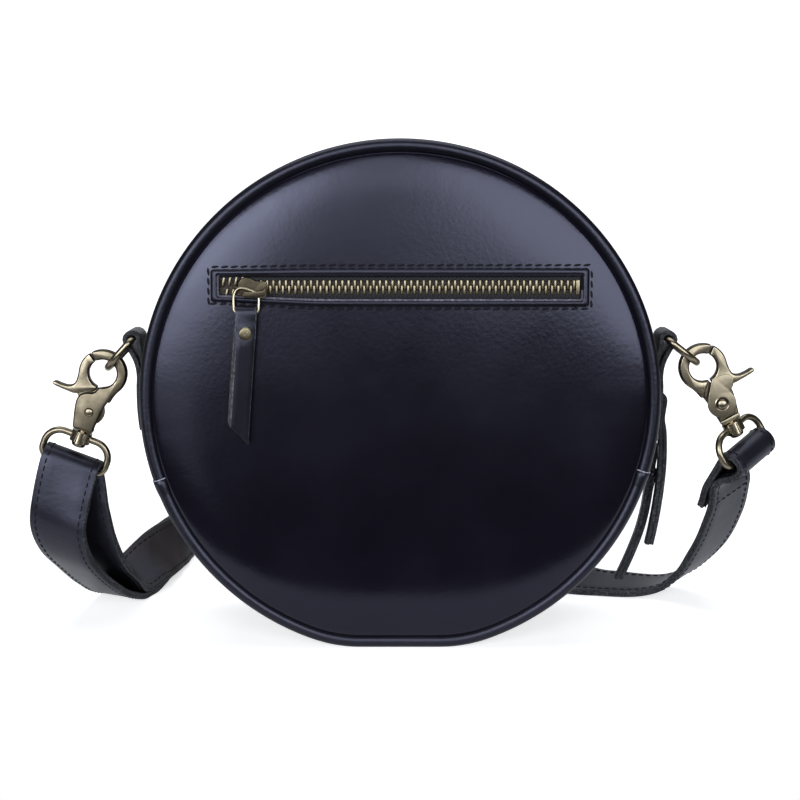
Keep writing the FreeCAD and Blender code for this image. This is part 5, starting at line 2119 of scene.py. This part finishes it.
@dataclass(frozen=True)
class HookPlace:
    """Where one hook hangs. Sizes in millimetres, angles in degrees."""

    side: int
    drop: float
    lean: float
    loop_turn: float
    reach: float = 20.4
    eye: float = 33.5
    bar_level: float = -8.65

    def upright(self) -> Matrix:
        """Frame of the hook's stem, in millimetres.

        Returns:
            The frame, with Z up the stem.
        """
        fall = math.radians(self.drop)
        bar = side_point(BAR_DISTANCE, BAR_ANGLE)
        across = self.side * (bar.x + self.reach * math.cos(fall))
        middle = Vector((across, bar.y, bar.z - self.reach * math.sin(fall)))
        lean = Matrix.Rotation(math.radians(-self.side * self.lean), 4, "Y")
        return Matrix.Translation(middle - lean @ (UP * self.eye)) @ lean

    def hook_matrix(self) -> Matrix:
        """Frame of the hook's own castings, in millimetres. Its lever points away from the bag."""
        return self.upright() @ Matrix.Rotation(math.radians(90.0 + 90.0 * self.side), 4, "Z")

    def matrix(self) -> Matrix:
        """Frame of the hook's strap loop, in millimetres."""
        return self.upright() @ Matrix.Rotation(math.radians(self.loop_turn), 4, "Z")


LEFT_HOOK = HookPlace(-1, 47.5, 20.8, 0.0)
RIGHT_HOOK = HookPlace(1, 37.5, 28.5, 37.0)


@dataclass
class Strap:
    """Shoulder strap, clipped on at both sides and folded up behind the bag. Sizes in millimetres."""

    finishes: Finishes
    width: float = 24.6
    thick: float = 3.0
    floor_gap: float = 0.1
    fold: float = 4.7
    layer: float = 3.1
    turn_radius: float = 22.0
    far_row: float = 150.0
    slide_x: float = -30.0
    slide_pitch: float = 12.0
    slide_lift: float = 2.85
    bar_clear: float = 1.55
    seam_edge: float = 2.6
    seam_lift: float = 0.05
    fold_turn: float = 57.0
    cross_row: Vector = Vector((144.8, 9.5, 57.0))

    def on_floor(self, x: float, y: float, heading: float, tilt: float) -> Station:
        """Station on the floor, with a heading seen from above and a tilt from flat to on edge.

        Args:
            x: Place across.
            y: Place in depth.
            heading: Angle from X.
            tilt: 0 is flat.

        Returns:
            The station.
        """
        course = math.radians(heading)
        lean = math.radians(tilt)
        right = Vector((math.sin(course), -math.cos(course), 0.0))
        across = right * math.cos(lean) - Vector((0.0, 0.0, math.sin(lean)))
        rise = self.width / 2.0 * math.sin(lean) + self.thick / 2.0 * math.cos(lean) + self.floor_gap
        return Vector((x, y, rise)), across

    def raised(self, x: float, share: float) -> Station:
        """Station on edge in the far row, lifted towards the slide's level."""
        middle, across = self.on_floor(x, self.far_row, 0.0, 90.0)
        return middle + Vector((0.0, 0.0, self.slide_lift * share)), across

    def bend(self, x: float, y: float, radius: float, start: float, end: float) -> list[Station]:
        """Stations of a bend on edge, clockwise where its angle falls.

        Args:
            x: Middle across.
            y: Middle in depth.
            radius: The radius.
            start: First angle.
            end: Last angle.

        Returns:
            The stations.
        """
        count = max(2, int(abs(end - start) / 15.0))
        square = math.copysign(90.0, end - start)
        result = []
        for angle in spaced(start, end, count):
            turn = math.radians(angle)
            across = x + radius * math.cos(turn)
            back = y + radius * math.sin(turn)
            result.append(self.on_floor(across, back, angle + square, 90.0))
        return result

    def over_bar(self, place: Matrix, level: float, start: float, end: float) -> list[Station]:
        """Stations of the strap bent over a loop's bar.

        Args:
            place: Frame of the hook's loop.
            level: Height of the bar in that frame.
            start: First angle.
            end: Last angle.

        Returns:
            The stations.
        """
        across = place.to_3x3() @ Vector((1.0, 0.0, 0.0))
        result = []
        count = max(3, int(abs(end - start) / 30.0))
        for angle in spaced(start, end, count):
            turn = math.radians(angle)
            middle = place @ Vector((0.0, -self.fold * math.cos(turn), level + self.fold * math.sin(turn)))
            result.append((middle, across))
        return result

    @staticmethod
    def hanging(rows: Sequence[tuple[float, ...]]) -> list[Station]:
        """Stations from rows of a middle point and a direction across."""
        return [(Vector(row[:3]), Vector(row[3:])) for row in rows]

    @staticmethod
    def beside(stations: Sequence[Station], step: float) -> list[Station]:
        """The same run moved onto the strap's inner face.

        Args:
            stations: The run.
            step: How far it moves.

        Returns:
            The moved run.
        """
        result = []
        last = len(stations) - 1
        for index, (middle, across) in enumerate(stations):
            along = stations[min(index + 1, last)][0] - stations[max(index - 1, 0)][0]
            result.append((middle + across.cross(along).normalized() * step, across))
        return result

    def stations(self) -> list[Station]:
        """The whole route, from the slide over both loops to the sewn tail.

        Returns:
            Middle points and directions across, in millimetres.
        """
        left = LEFT_HOOK
        row = self.far_row
        middle_row = row - 2.0 * self.turn_radius
        near = middle_row - 2.0 * self.turn_radius
        left_run = [
            self.on_floor(-127.5, 43.0, 74.0, 3.0),
            self.on_floor(-122.5, 56.0, 70.0, 28.0),
            self.on_floor(-118.0, 71.0, 74.0, 58.0),
            self.on_floor(-114.0, 90.0, 80.0, 72.0),
            self.on_floor(-111.5, 107.0, 86.0, 82.0),
        ]
        first_turn = self.bend(-82.0, 122.0, 28.0, 180.0, 90.0)
        past_turn = [self.raised(self.slide_x - self.slide_pitch - 14.0, 0.5)]
        offset = self.bar_clear + self.thick / 2.0
        over = self.bar_clear + self.thick + 0.25 + self.thick / 2.0
        rise = ((-1.0, 0.0), (-0.72, 0.1), (-0.4, 0.62), (0.0, 1.0))
        through = []
        for share, lift in rise + tuple((-share, lift) for share, lift in reversed(rise[:-1])):
            middle, across = self.raised(self.slide_x + share * self.slide_pitch, 1.0)
            through.append((middle + AWAY * (lift * (offset + over)), across))
        back = [self.raised(self.slide_x + self.slide_pitch + 12.0, 0.5), self.on_floor(20.0, row, 0.0, 90.0)]
        back += self.bend(48.0, row - self.turn_radius, self.turn_radius, 90.0, -90.0)
        back += [self.on_floor(10.0, middle_row, 180.0, 90.0)]
        back += self.bend(-38.0, middle_row - self.turn_radius, self.turn_radius, 90.0, 270.0)
        right_run = [
            self.on_floor(-16.0, near, 0.0, 90.0),
            self.on_floor(8.0, near - 0.3, -1.0, 78.0),
            self.on_floor(32.0, near - 1.2, -4.0, 54.0),
            self.on_floor(56.0, near - 3.2, -8.0, 32.0),
            self.on_floor(80.0, near - 7.0, -12.0, 16.0),
            self.on_floor(98.0, near - 11.0, -15.0, 8.0),
        ]
        level = self.width / 2.0 + self.floor_gap + self.slide_lift
        axis = Vector((self.slide_x, row + offset, level))
        down = -UP
        wrap = []
        for turn in (165, 135, 100, 65, 30, 0):
            angle = math.radians(turn)
            wrap.append((axis + Vector((offset * math.sin(angle), -offset * math.cos(angle), 0.0)), down))
        lead = [(Vector((self.slide_x - self.slide_pitch, row - self.layer * 0.95, level)), down)]
        to_slide = left_run + first_turn + past_turn
        inner_run = self.beside(to_slide, self.layer)[::-1]
        left_fold = self.over_bar(left.matrix(), left.bar_level, 0.0, 180.0)[::-1]
        inner = wrap + lead + inner_run + self.left_inner() + left_fold
        outer = self.left_outer() + to_slide + through + back + right_run
        return inner + outer + self.right_end(RIGHT_HOOK, near)

    def left_outer(self) -> list[Station]:
        """The outer layer as it hangs from the left loop down to the floor.

        Returns:
            The stations.
        """
        rows = (
            (-143.6, -14.4, 58.0, 0.94, -0.1, -0.32),
            (-145.4, -14.0, 46.0, 0.94, -0.16, -0.28),
            (-143.6, -8.0, 33.5, 0.94, -0.22, -0.24),
            (-139.4, 3.0, 22.6, 0.93, -0.28, -0.2),
            (-134.4, 17.0, 12.0, 0.93, -0.33, -0.12),
            (-130.4, 31.0, 4.8, 0.95, -0.3, -0.07),
        )
        return self.hanging(rows)

    def left_inner(self) -> list[Station]:
        """The inner layer as it rises to the left loop.

        Returns:
            The stations.
        """
        rows = (
            (-128.6, 24.0, 15.6, 0.93, -0.33, -0.12),
            (-131.8, 11.0, 25.6, 0.93, -0.28, -0.18),
            (-135.0, 2.0, 38.0, 0.94, -0.18, -0.24),
            (-137.6, -2.2, 51.0, 0.94, -0.08, -0.3),
            (-139.0, -3.4, 62.0, 0.935, 0.0, -0.35),
        )
        return self.hanging(rows)

    def right_end(self, hook: HookPlace, near: float) -> list[Station]:
        """The rise to the right loop, the sewn fold and its tail.

        Args:
            hook: The right hook's place.
            near: Depth of the near row.

        Returns:
            The stations.
        """
        place = hook.matrix()
        turn = place.to_3x3()
        lean = math.radians(self.fold_turn)
        down = turn @ Vector((0.0, math.sin(lean), -math.cos(lean)))
        to_main = turn @ Vector((0.0, -math.cos(lean), -math.sin(lean)))
        across = turn @ Vector((-1.0, 0.0, 0.0))
        bar = place @ Vector((0.0, 0.0, hook.bar_level))
        rows = (
            (122.0, near - 16.0, 4.6, -0.5, -0.86, -0.05),
            (133.2, near - 23.0, 13.4, -0.72, -0.66, -0.2),
            (140.4, near - 33.0, 27.5, -0.83, -0.42, -0.36),
            (143.8, near - 43.0, 42.0, -0.82, -0.42, -0.4),
            (144.8, near - 52.5, 57.0, -0.77, -0.52, -0.37),
        )
        rise = self.hanging(rows)
        closing = 2.0 * self.fold - self.layer
        neck = []
        for drop, closed in ((18.0, 1.0), (11.0, 0.78), (5.5, 0.24)):
            neck.append((bar + down * drop + to_main * (self.fold - closing * closed), across))
        bent = self.over_bar(place, hook.bar_level, -self.fold_turn, 180.0 - self.fold_turn)
        fold = [(middle, across) for middle, _ in bent]
        tail = []
        for drop in (6.0, 12.0):
            tail.append((bar + down * drop - to_main * self.fold, across))
        path = Ribbon("tail_path", self.width, self.thick, step=1.0).frames(rise + neck[:1])
        for distance, aside in ((1, 0.8), (8, 1.6), (15, 2.0)):
            middle, side, inward, _ = path[-1 - distance]
            tail.append((middle + inward * self.layer - Vector((aside, 0.0, 0.0)), side))
        return rise + neck + fold + tail

    def seams(self, ribbon: Ribbon, stations: Sequence[Station]) -> Piece:
        """Rows of stitches along both edges of both faces, and across the sewn neck.

        Args:
            ribbon: The strap's strip.
            stations: Its route.

        Returns:
            All rows in one piece.
        """
        stitch = Stitch(width=0.7)
        frames = ribbon.frames(stations)
        level = self.thick / 2.0 + self.seam_lift
        rows = []
        for edge in (-1.0, 1.0):
            aside = edge * (self.width / 2.0 - self.seam_edge)
            for face in (-1.0, 1.0):
                track = []
                for middle, side, inward, _ in frames:
                    up = inward * face
                    track.append((middle + side * aside + up * level, up))
                rows.append(stitch.row("seam", track))
        middle, side, inward, _ = min(frames, key=lambda item: (item[0] - self.cross_row).length)
        track = []
        for step in range(-9, 10):
            track.append((middle + side * (step * 1.08) - inward * level, -inward))
        rows.append(stitch.row("cross_seam", track))
        return join("strap_stitches", rows)

    def line_inner_run(self, piece: Piece, ribbon: Ribbon, stations: Sequence[Station]) -> None:
        """Show the flesh side where the inner run faces the bag, and the dyed side elsewhere.

        Args:
            piece: The strap.
            ribbon: Its strip.
            stations: Its route.
        """
        top = LEFT_HOOK.matrix() @ Vector((0.0, 0.0, LEFT_HOOK.bar_level + self.fold))
        frames = ribbon.frames(stations)
        fold_row = min(range(len(frames)), key=lambda row: (frames[row][0] - top).length)
        sides = len(ribbon.section()[0])
        for polygon in piece.data.polygons:
            if polygon.material_index != Part.EDGE.value:
                flesh = polygon.index // sides < fold_row and polygon.material_index == Part.FACE.value
                polygon.material_index = Part.BACK.value if flesh else Part.FACE.value

    def build(self) -> None:
        """Make the strap and its seams."""
        stations = self.stations()
        ribbon = Ribbon("strap_leather_body", self.width, self.thick, layers=2)
        piece = ribbon.build(stations)
        self.line_inner_run(piece, ribbon, stations)
        leathers = (self.finishes.strap, self.finishes.edge, self.finishes.back)
        hand_over(piece, "strap", ["strap"], "strap_leather", *leathers)
        hand_over(self.seams(ribbon, stations), "strap", [], "strap_leather", self.finishes.thread)


@dataclass
class SideTabs:
    """Folded leather tabs that hold the D-rings. Sizes in millimetres."""

    finishes: Finishes
    width: float = 16.0
    thick: float = 2.0
    loop_radius: float = 2.95
    low: float = -7.5
    gap: float = 0.1
    seam_top: float = 2.0
    seam_edge: float = 2.2
    seam_foot: float = 1.3
    seam_lift: float = 0.05

    def stations(self, side: int) -> list[Station]:
        """Route of one tab: up, round the ring's bar and down.

        Args:
            side: -1 on the left, 1 on the right.

        Returns:
            The stations.
        """
        inner = OUTLINE.radius + self.gap + self.thick / 2.0
        outer = inner + self.thick + self.gap
        bar = side_point(BAR_DISTANCE, BAR_ANGLE)
        points = [side_point(inner, angle) for angle in (self.low, -5.0, -2.0, 2.0, 4.5)]
        points += [side_point(inner + 0.5, 6.6), side_point(inner + 1.8, 8.6)]
        for turn in range(190, -61, -25):
            angle = math.radians(turn + BAR_ANGLE)
            points.append(bar + Vector((math.cos(angle), 0.0, math.sin(angle))) * self.loop_radius)
        points += [side_point(outer + 2.2, 8.0), side_point(outer + 0.7, 6.2)]
        points += [side_point(outer, angle) for angle in (4.2, 2.0, -2.0, -5.0, self.low)]
        return [(Vector((side * point.x, point.y, point.z)), AWAY) for point in points]

    def stitches(self, name: str, side: int) -> Piece:
        """Row of stitches round the sewn part of one tab.

        Args:
            name: Name of the piece.
            side: -1 on the left, 1 on the right.

        Returns:
            The row.
        """
        radius = OUTLINE.radius + 2.0 * (self.gap + self.thick) + self.seam_lift
        half = self.width / 2.0 - self.seam_edge
        top = self.seam_top
        foot = self.low + self.seam_foot
        corners = [(-half, top), (-half, foot), (half, foot), (half, top), (-half, top)]
        track = []
        for (first_y, first), (second_y, second) in zip(corners[:-1], corners[1:]):
            for share in spaced(0.0, 1.0, 12):
                place = side_point(radius, first + (second - first) * share)
                outward = Vector((place.x, 0.0, place.z - OUTLINE.centre))
                place.y += first_y + (second_y - first_y) * share
                place.x *= side
                outward.x *= side
                track.append((place, outward.normalized()))
        return Stitch(length=2.2, width=0.6, pitch=3.0).row(name, track)

    def build(self) -> None:
        """Make both tabs."""
        leathers = (self.finishes.strap, self.finishes.edge, self.finishes.strap)
        for side, name in ((-1, "left_tab"), (1, "right_tab")):
            piece = Ribbon(name + "_leather", self.width, self.thick, step=1.3).build(self.stations(side))
            hand_over(piece, "bag", [name], "bag_leather", *leathers)
            row = self.stitches(name + "_stitches", side)
            hand_over(row, "bag", [], "bag_leather", self.finishes.thread)


@dataclass
class Hook:
    """Swivel trigger hook. Sizes in millimetres, in the hook's own frame with Z up its stem."""

    finishes: Finishes
    name: str
    place: HookPlace
    outer: float = 10.2
    inner: float = 5.9
    half: float = 2.2
    soft: Flat = (0.95, 1.15)
    pivot: float = 16.0
    disc: float = 6.1
    arm_rise: float = 0.15
    split: float = 138.0
    split_gap: float = 3.2

    def finish(self, kind: str, pieces: Sequence[Piece]) -> None:
        """Join the castings of one piece, dress it and let it stand for its solid.

        Args:
            kind: The solid's name without its side.
            pieces: The castings.
        """
        node = f"{self.name}_{kind}"
        piece = join(node + "_metal", pieces)
        smooth(piece, 45.0)
        # Rims that turn away from the front take the dark brass: painted shade along the hooks' rims
        mark_rims(piece, self.place.hook_matrix().to_3x3() @ AWAY)
        metals = (self.finishes.brass, self.finishes.dark_brass_and_rim_shade)
        hand_over(piece, frame["nodes"][node]["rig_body"], [node], "antique_brass", *metals)

    def body(self) -> None:
        """Cast body: most of the ring, the cheek in front of the gate, the foot and the stem."""
        place = self.place.hook_matrix()
        eye = self.place.eye
        ring_out = arc(0.0, eye, self.outer, self.split, -36.0, 30)
        ring_in = arc(0.0, eye, self.inner, -88.0, self.split, 30)
        right = flowing([(8.25, 27.4), (7.0, 24.7), (5.6, 21.2), (4.85, 16.6), (4.4, 11.6), (4.1, 7.4)])
        left = [(-4.5, 7.3), (-5.5, 11.3), (-6.4, 15.4), (-6.8, 18.9)]
        left += [(-6.2, 21.6), (-4.4, 23.3), (-2.4, 24.0), (-1.1, 24.3)]
        cheek = ring_out + right + flowing(left) + [(-0.6, 25.0), (0.2, 26.3)] + ring_in
        neck = flowing([(8.1, 27.2), (7.2, 24.6), (6.7, 22.0)])
        neck += flowing([(5.6, 21.9), (3.4, 24.2), (1.2, 26.4)])
        far_ring = ring_out + neck + arc(0.0, eye, self.inner, -80.0, self.split, 30)
        foot = [(-4.4, 7.2), (4.1, 7.2), (4.3, 9.4), (-4.8, 9.4)]
        stem = [(2.0, 0.0), (2.7, 0.35), (3.0, 1.0), (2.95, 1.7), (2.6, 1.9), (1.9, 2.0), (1.9, 8.5)]
        pieces = [
            casting("cheek", cheek, (-self.half, 0.0), self.soft, place),
            casting("far_ring", far_ring, (-0.4, self.half), self.soft, place),
            casting("foot", foot, (-self.half + 0.2, self.half), (0.5, 0.5), place),
            turned("stem", stem, place),
        ]
        self.finish("hook_body", pieces)

    def gate(self) -> None:
        """Gate: the rest of the ring with its thumb lever, and the arm to the pivot behind the cheek."""
        place = self.place.hook_matrix()
        start = self.split + self.split_gap
        thumb = [(-9.75, 30.0), (-9.5, 27.6), (-9.9, 25.3), (-11.7, 23.9), (-14.6, 23.5), (-17.8, 23.7)]
        lever = flowing(thumb)
        lever += [(-18.5, 23.3), (-18.8, 22.6), (-18.4, 21.9)]
        lever += flowing([(-17.6, 21.7), (-14.4, 21.4), (-11.6, 21.3), (-9.2, 21.2), (-7.6, 21.6)])
        seam = flowing([(-6.8, 22.0), (-4.7, 23.65), (-2.5, 24.4), (-1.4, 24.65)])
        seam += [(-0.95, 25.25), (-0.15, 26.6)]
        claw = arc(0.0, self.place.eye, self.outer, start, 198.0, 12) + lever + seam
        claw += arc(0.0, self.place.eye, self.inner, 268.0, start, 24)
        arm = arc(0.0, self.pivot, self.disc, 150.0, 392.0, 36)
        arm += flowing([(4.7, 20.1), (3.5, 22.0), (1.7, 24.2), (0.2, 26.2), (-0.6, 27.1)])
        arm += flowing([(-2.6, 27.3), (-5.4, 27.2), (-8.0, 26.0), (-9.0, 24.0), (-8.4, 21.8), (-6.9, 20.2)])
        pieces = [
            casting("claw", claw, (-self.half, self.half), self.soft, place),
            casting("arm", arm, (1.2, self.half + self.arm_rise), (0.4, 0.4), place),
        ]
        self.finish("hook_gate", pieces)

    def rivet(self) -> None:
        """Rivet of the pivot: a small head on the cheek and a large domed one on the gate."""
        small = ((1.95, -0.3), (1.9, 0.15), (1.6, 0.48), (1.0, 0.7), (0.4, 0.77), (0.04, 0.78))
        large = ((3.1, -0.3), (3.1, 0.12), (2.8, 0.28), (2.5, 0.14), (2.4, 0.4), (2.1, 0.85))
        large += ((1.5, 1.2), (0.7, 1.38), (0.04, 1.4))
        heads = []
        for profile, depth, turn in ((small, -self.half, 90.0), (large, self.half + self.arm_rise, -90.0)):
            face = Matrix.Translation(Vector((0.0, depth, self.pivot)))
            face @= Matrix.Rotation(math.radians(turn), 4, "X")
            heads.append(turned("head", profile, self.place.hook_matrix() @ face))
        self.finish("gate_rivet", heads)

    def build(self) -> None:
        """Make the whole hook."""
        self.body()
        self.gate()
        self.rivet()


@dataclass
class Hardware:
    """Bent and turned brass pieces: softened copies of the solids."""

    finishes: Finishes
    sided: tuple[str, ...] = ("gate_spring", "strap_loop", "d_ring")
    same_place: float = 0.000002
    flat_angle: float = 0.6
    sharp_angle: float = 38.0

    def soften(self, node: str, slot: str, material: Material, width: float = 0.0) -> None:
        """Copy a solid, round its edges, shade it smooth and let it stand for the solid.

        Args:
            node: The solid's name.
            slot: Material slot of the part.
            material: What it is made of.
            width: Width of the rounding in millimetres, or 0 for none.
        """
        source = frame["nodes"][node]
        piece = linked(node + "_metal", source.data.copy())
        with editing(piece):
            bpy.ops.mesh.remove_doubles(threshold=self.same_place)
            bpy.ops.mesh.dissolve_limited(angle_limit=math.radians(self.flat_angle))
        if width > 0.0:
            bevel = piece.modifiers.new("Rounding", "BEVEL")
            bevel.width = width * MM
            bevel.segments = 3
            bevel.limit_method = "ANGLE"
            bevel.angle_limit = math.radians(self.sharp_angle)
            bevel.harden_normals = False
            apply_modifiers(piece)
        smooth(piece, 42.0)
        hand_over(piece, source["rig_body"], [node], slot, material)

    def build(self) -> None:
        """Make all brass pieces."""
        for side in ("left", "right"):
            for kind in self.sided:
                self.soften(f"{side}_{kind}", "antique_brass", self.finishes.brass)
        for node, width in (("upper_slider", 0.3), ("lower_slider", 0.3), ("strap_slide", 0.0)):
            self.soften(node, "antique_brass", self.finishes.brass, width)
        for node in ("pocket_zip_stops", "main_zip_stops"):
            self.soften(node, "zip_metal", self.finishes.teeth, 0.25)


@dataclass
class Inside:
    """Lining of the bag and of its flap, and the pocket's pouch. Sizes in millimetres."""

    finishes: Finishes
    count: int = 144
    cup_inset: float = 3.2
    cup_thick: float = 0.7
    back: float = -29.7
    mouth: float = 2.6
    wall_steps: int = 6
    flap_inset: float = 7.6
    flap_depth: float = 30.9
    flap_thick: float = 0.6
    shrinks: tuple[float, ...] = (0.9, 0.86, 0.8, 0.7, 0.5)
    pouch_size: Vector = Vector((151.0, 3.6, 104.0))
    pouch_place: Vector = Vector((0.0, -33.5, 109.8))
    pouch_edge: float = 1.2
    ripple: Flat = (0.25, 0.05)

    def cup(self) -> None:
        """Lining of the pocket side and the gusset: a shallow cup of cloth."""
        piece = hoop("lining_cloth", OUTLINE.loop(self.count, self.cup_inset, self.mouth))
        with editing(piece):
            for _ in range(self.wall_steps):
                step_in(1.0, (self.back - self.mouth) / self.wall_steps)
            for share in self.shrinks:
                step_in(share)
            bpy.ops.mesh.merge(type="CENTER")
        self.drape(piece, self.cup_thick)
        hand_over(piece, "bag", ["lining"], "lining_fabric", self.finishes.lining)

    def flap(self) -> None:
        """Lining inside the plain panel, which spans the flap's chord."""
        piece = hoop("flap_lining_cloth", OUTLINE.loop(self.count, self.flap_inset, self.flap_depth))
        with editing(piece):
            for share in (0.95, 0.93) + self.shrinks:
                step_in(share)
            bpy.ops.mesh.merge(type="CENTER")
            bpy.ops.mesh.select_all(action="SELECT")
            bpy.ops.mesh.subdivide(number_cuts=3)
        self.drape(piece, self.flap_thick)
        hand_over(piece, ACROSS_FLAP, ["flap_lining"], "lining_fabric", self.finishes.lining)

    def drape(self, piece: Piece, thick: float) -> None:
        """Give a cloth soft ripples and its thickness.

        Args:
            piece: The cloth.
            thick: Its thickness in millimetres.
        """
        height, rate = self.ripple
        for vertex in piece.data.vertices:
            vertex.co.y += height * noise.noise(vertex.co / MM * rate) * MM
        turn_outwards(piece)
        thicken(piece, thick)
        smooth(piece, 50.0)

    def pouch(self) -> None:
        """Flat cloth pouch behind the pocket's zip."""
        piece = block("pocket_pouch_cloth", self.pouch_size, self.pouch_place, self.pouch_edge, 3)
        smooth(piece, 50.0)
        hand_over(piece, "bag", ["pocket_pouch"], "lining_fabric", self.finishes.lining)

    def build(self) -> None:
        """Make all linings."""
        self.cup()
        self.flap()
        self.pouch()


# Studio


@dataclass
class Studio:
    """White floor and wall, soft lamps and the camera."""

    focal_pixels: float = 1499.0
    frame_pixels: float = 800.0
    sensor: float = 36.0
    camera_place: tuple[float, float, float] = (0.0, -0.635, 0.1995)
    pitch: float = 9.0
    floor_front: float = -0.1
    floor_back: float = 1.65
    floor_width: float = 4.0
    sweep_steps: int = 6
    sweep_length: float = 0.13
    wall_height: float = 2.5
    shadow_reach: float = 0.2
    paper_glow: float = 0.66
    mirrored_glow: float = 0.22
    room_glow: float = 0.04
    lamp_tint: tuple[float, float, float] = (0.9, 0.94, 1.0)

    def camera(self) -> None:
        """Put the camera where the photograph was taken."""
        data = bpy.data.cameras.new("camera")
        data.sensor_width = self.sensor
        data.lens = self.sensor * self.focal_pixels / self.frame_pixels
        camera = linked("camera", data)
        camera.location = self.camera_place
        camera.rotation_euler = (math.radians(90.0 - self.pitch), 0.0, 0.0)
        bpy.context.scene.camera = camera

    def white(self) -> Material:
        """White paper that keeps the shadows near the bag and is plain white away from it.

        Returns:
            The material.
        """
        material, sheet, shader, place = Finish("white_paper").start()
        length = sheet.add("ShaderNodeVectorMath")
        length.operation = "LENGTH"
        sheet.feed(length, 0, place)
        away = sheet.ramp(length.outputs["Value"], self.shadow_reach, 2.5 * self.shadow_reach)
        light = sheet.add("ShaderNodeLightPath")
        mirrored = sheet.math("MAXIMUM", light.outputs["Is Glossy Ray"], light.outputs["Is Transmission Ray"])
        glow = sheet.between(away, self.paper_glow, 1.0)
        seen = sheet.math("MULTIPLY", light.outputs["Is Camera Ray"], glow)
        seen = sheet.math("ADD", seen, sheet.math("MULTIPLY", mirrored, self.mirrored_glow))
        sheet.feed(shader, "Base Color", colour(0.85, 0.85, 0.85))
        sheet.feed(shader, "Roughness", 0.9)
        sheet.feed(shader, "Specular IOR Level", 0.0)
        sheet.feed(shader, "Emission Color", colour(1.0, 1.0, 1.0))
        sheet.feed(shader, "Emission Strength", seen)
        return material

    def floor(self) -> None:
        """Floor that sweeps up into a wall behind the bag."""
        deselect()
        bpy.ops.mesh.primitive_plane_add(size=1.0)
        floor = bpy.context.active_object
        floor.name = "studio_floor"
        floor.scale = (self.floor_width, self.floor_back - self.floor_front, 1.0)
        floor.location = (0.0, (self.floor_back + self.floor_front) / 2.0, 0.0)
        settle(floor)
        with editing(floor):
            bpy.ops.mesh.select_all(action="DESELECT")
        for edge in floor.data.edges:
            edge.select = all(floor.data.vertices[index].co.y > 0.0 for index in edge.vertices)
        bpy.ops.object.mode_set(mode="EDIT")
        for step in range(self.sweep_steps):
            turn = math.radians(90.0) * (step + 0.5) / self.sweep_steps
            rise = (0.0, self.sweep_length * math.cos(turn), self.sweep_length * math.sin(turn))
            bpy.ops.mesh.extrude_region()
            bpy.ops.transform.translate(value=rise)
        bpy.ops.mesh.extrude_region()
        bpy.ops.transform.translate(value=(0.0, 0.0, self.wall_height))
        bpy.ops.object.mode_set(mode="OBJECT")
        smooth(floor, 60.0)
        floor.data.materials.append(self.white())

    def lamp(self, name: str, place: Vector, target: Vector, size: tuple[float, float], glow: float) -> None:
        """Add one soft rectangular lamp.

        Args:
            name: Name of the lamp.
            place: Where it hangs, in metres.
            target: What it points at.
            size: Width and height in metres.
            glow: How bright its face is.
        """
        data = bpy.data.lights.new(name, "AREA")
        data.shape = "RECTANGLE"
        data.size, data.size_y = size
        data.energy = glow * math.pi * size[0] * size[1]
        data.color = self.lamp_tint
        lamp = linked(name, data)
        lamp.location = place
        lamp.rotation_euler = (target - place).to_track_quat("-Z", "Y").to_euler()

    def lights(self) -> None:
        """A softbox above, six in front round the camera, and a dim room behind them."""
        aim = Vector((0.0, 0.0, 0.11))
        self.lamp("top_softbox", Vector((0.0, 0.15, 1.2)), aim, (1.3, 1.0), 2.0)
        for name, x, y, z, width, height, glow in (
            ("left_softbox", -0.98, -1.5, 0.49, 1.43, 0.92, 5.0),
            ("left_patch", -0.8, -1.48, 0.58, 0.7, 0.5, 2.8),
            ("right_softbox", 0.86, -1.5, 0.5, 1.5, 0.9, 4.6),
            ("high_softbox", -0.08, -1.5, 0.85, 0.37, 0.9, 2.4),
            ("middle_softbox", -0.08, -1.5, 0.215, 0.37, 0.37, 1.2),
            ("low_softbox", -0.98, -1.5, -0.17, 1.05, 0.38, 0.7),
        ):
            self.lamp(name, Vector((x, y, z)), Vector((x, 0.0, z)), (width, height), glow)
        world = bpy.data.worlds.new("studio")
        world.use_nodes = True
        background = next(node for node in world.node_tree.nodes if node.type == "BACKGROUND")
        background.inputs["Color"].default_value = colour(1.0, 1.0, 1.0)
        sheet = Sheet(world.node_tree)
        seen = sheet.add("ShaderNodeLightPath").outputs["Is Camera Ray"]
        sheet.feed(background, "Strength", sheet.between(seen, self.room_glow, 1.0))
        bpy.context.scene.world = world

    def build(self) -> None:
        """Set up the whole studio."""
        bpy.context.scene.view_settings.view_transform = "Standard"
        self.camera()
        self.floor()
        self.lights()
        log.info("studio")


def corners(box: Iterable[Vector]) -> list[list[float]]:
    """The corners of a box as plain numbers."""
    return [[float(value) for value in corner] for corner in box]


def main() -> None:
    """Build every sub-assembly in order."""
    logging.basicConfig(level=logging.INFO, format="%(name)s: %(message)s")
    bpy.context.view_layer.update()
    studio = Studio()
    studio.build()
    finishes = Finishes()
    pocket = PocketZip(finishes)
    pocket.build()
    Shell(finishes).build(pocket)
    MainZip(finishes).build()
    Strap(finishes).build()
    SideTabs(finishes).build()
    for name, place in (("left", LEFT_HOOK), ("right", RIGHT_HOOK)):
        Hook(finishes, name, place).build()
    Hardware(finishes).build()
    Inside(finishes).build()
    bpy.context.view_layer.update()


if __name__ == "__main__":
    main()
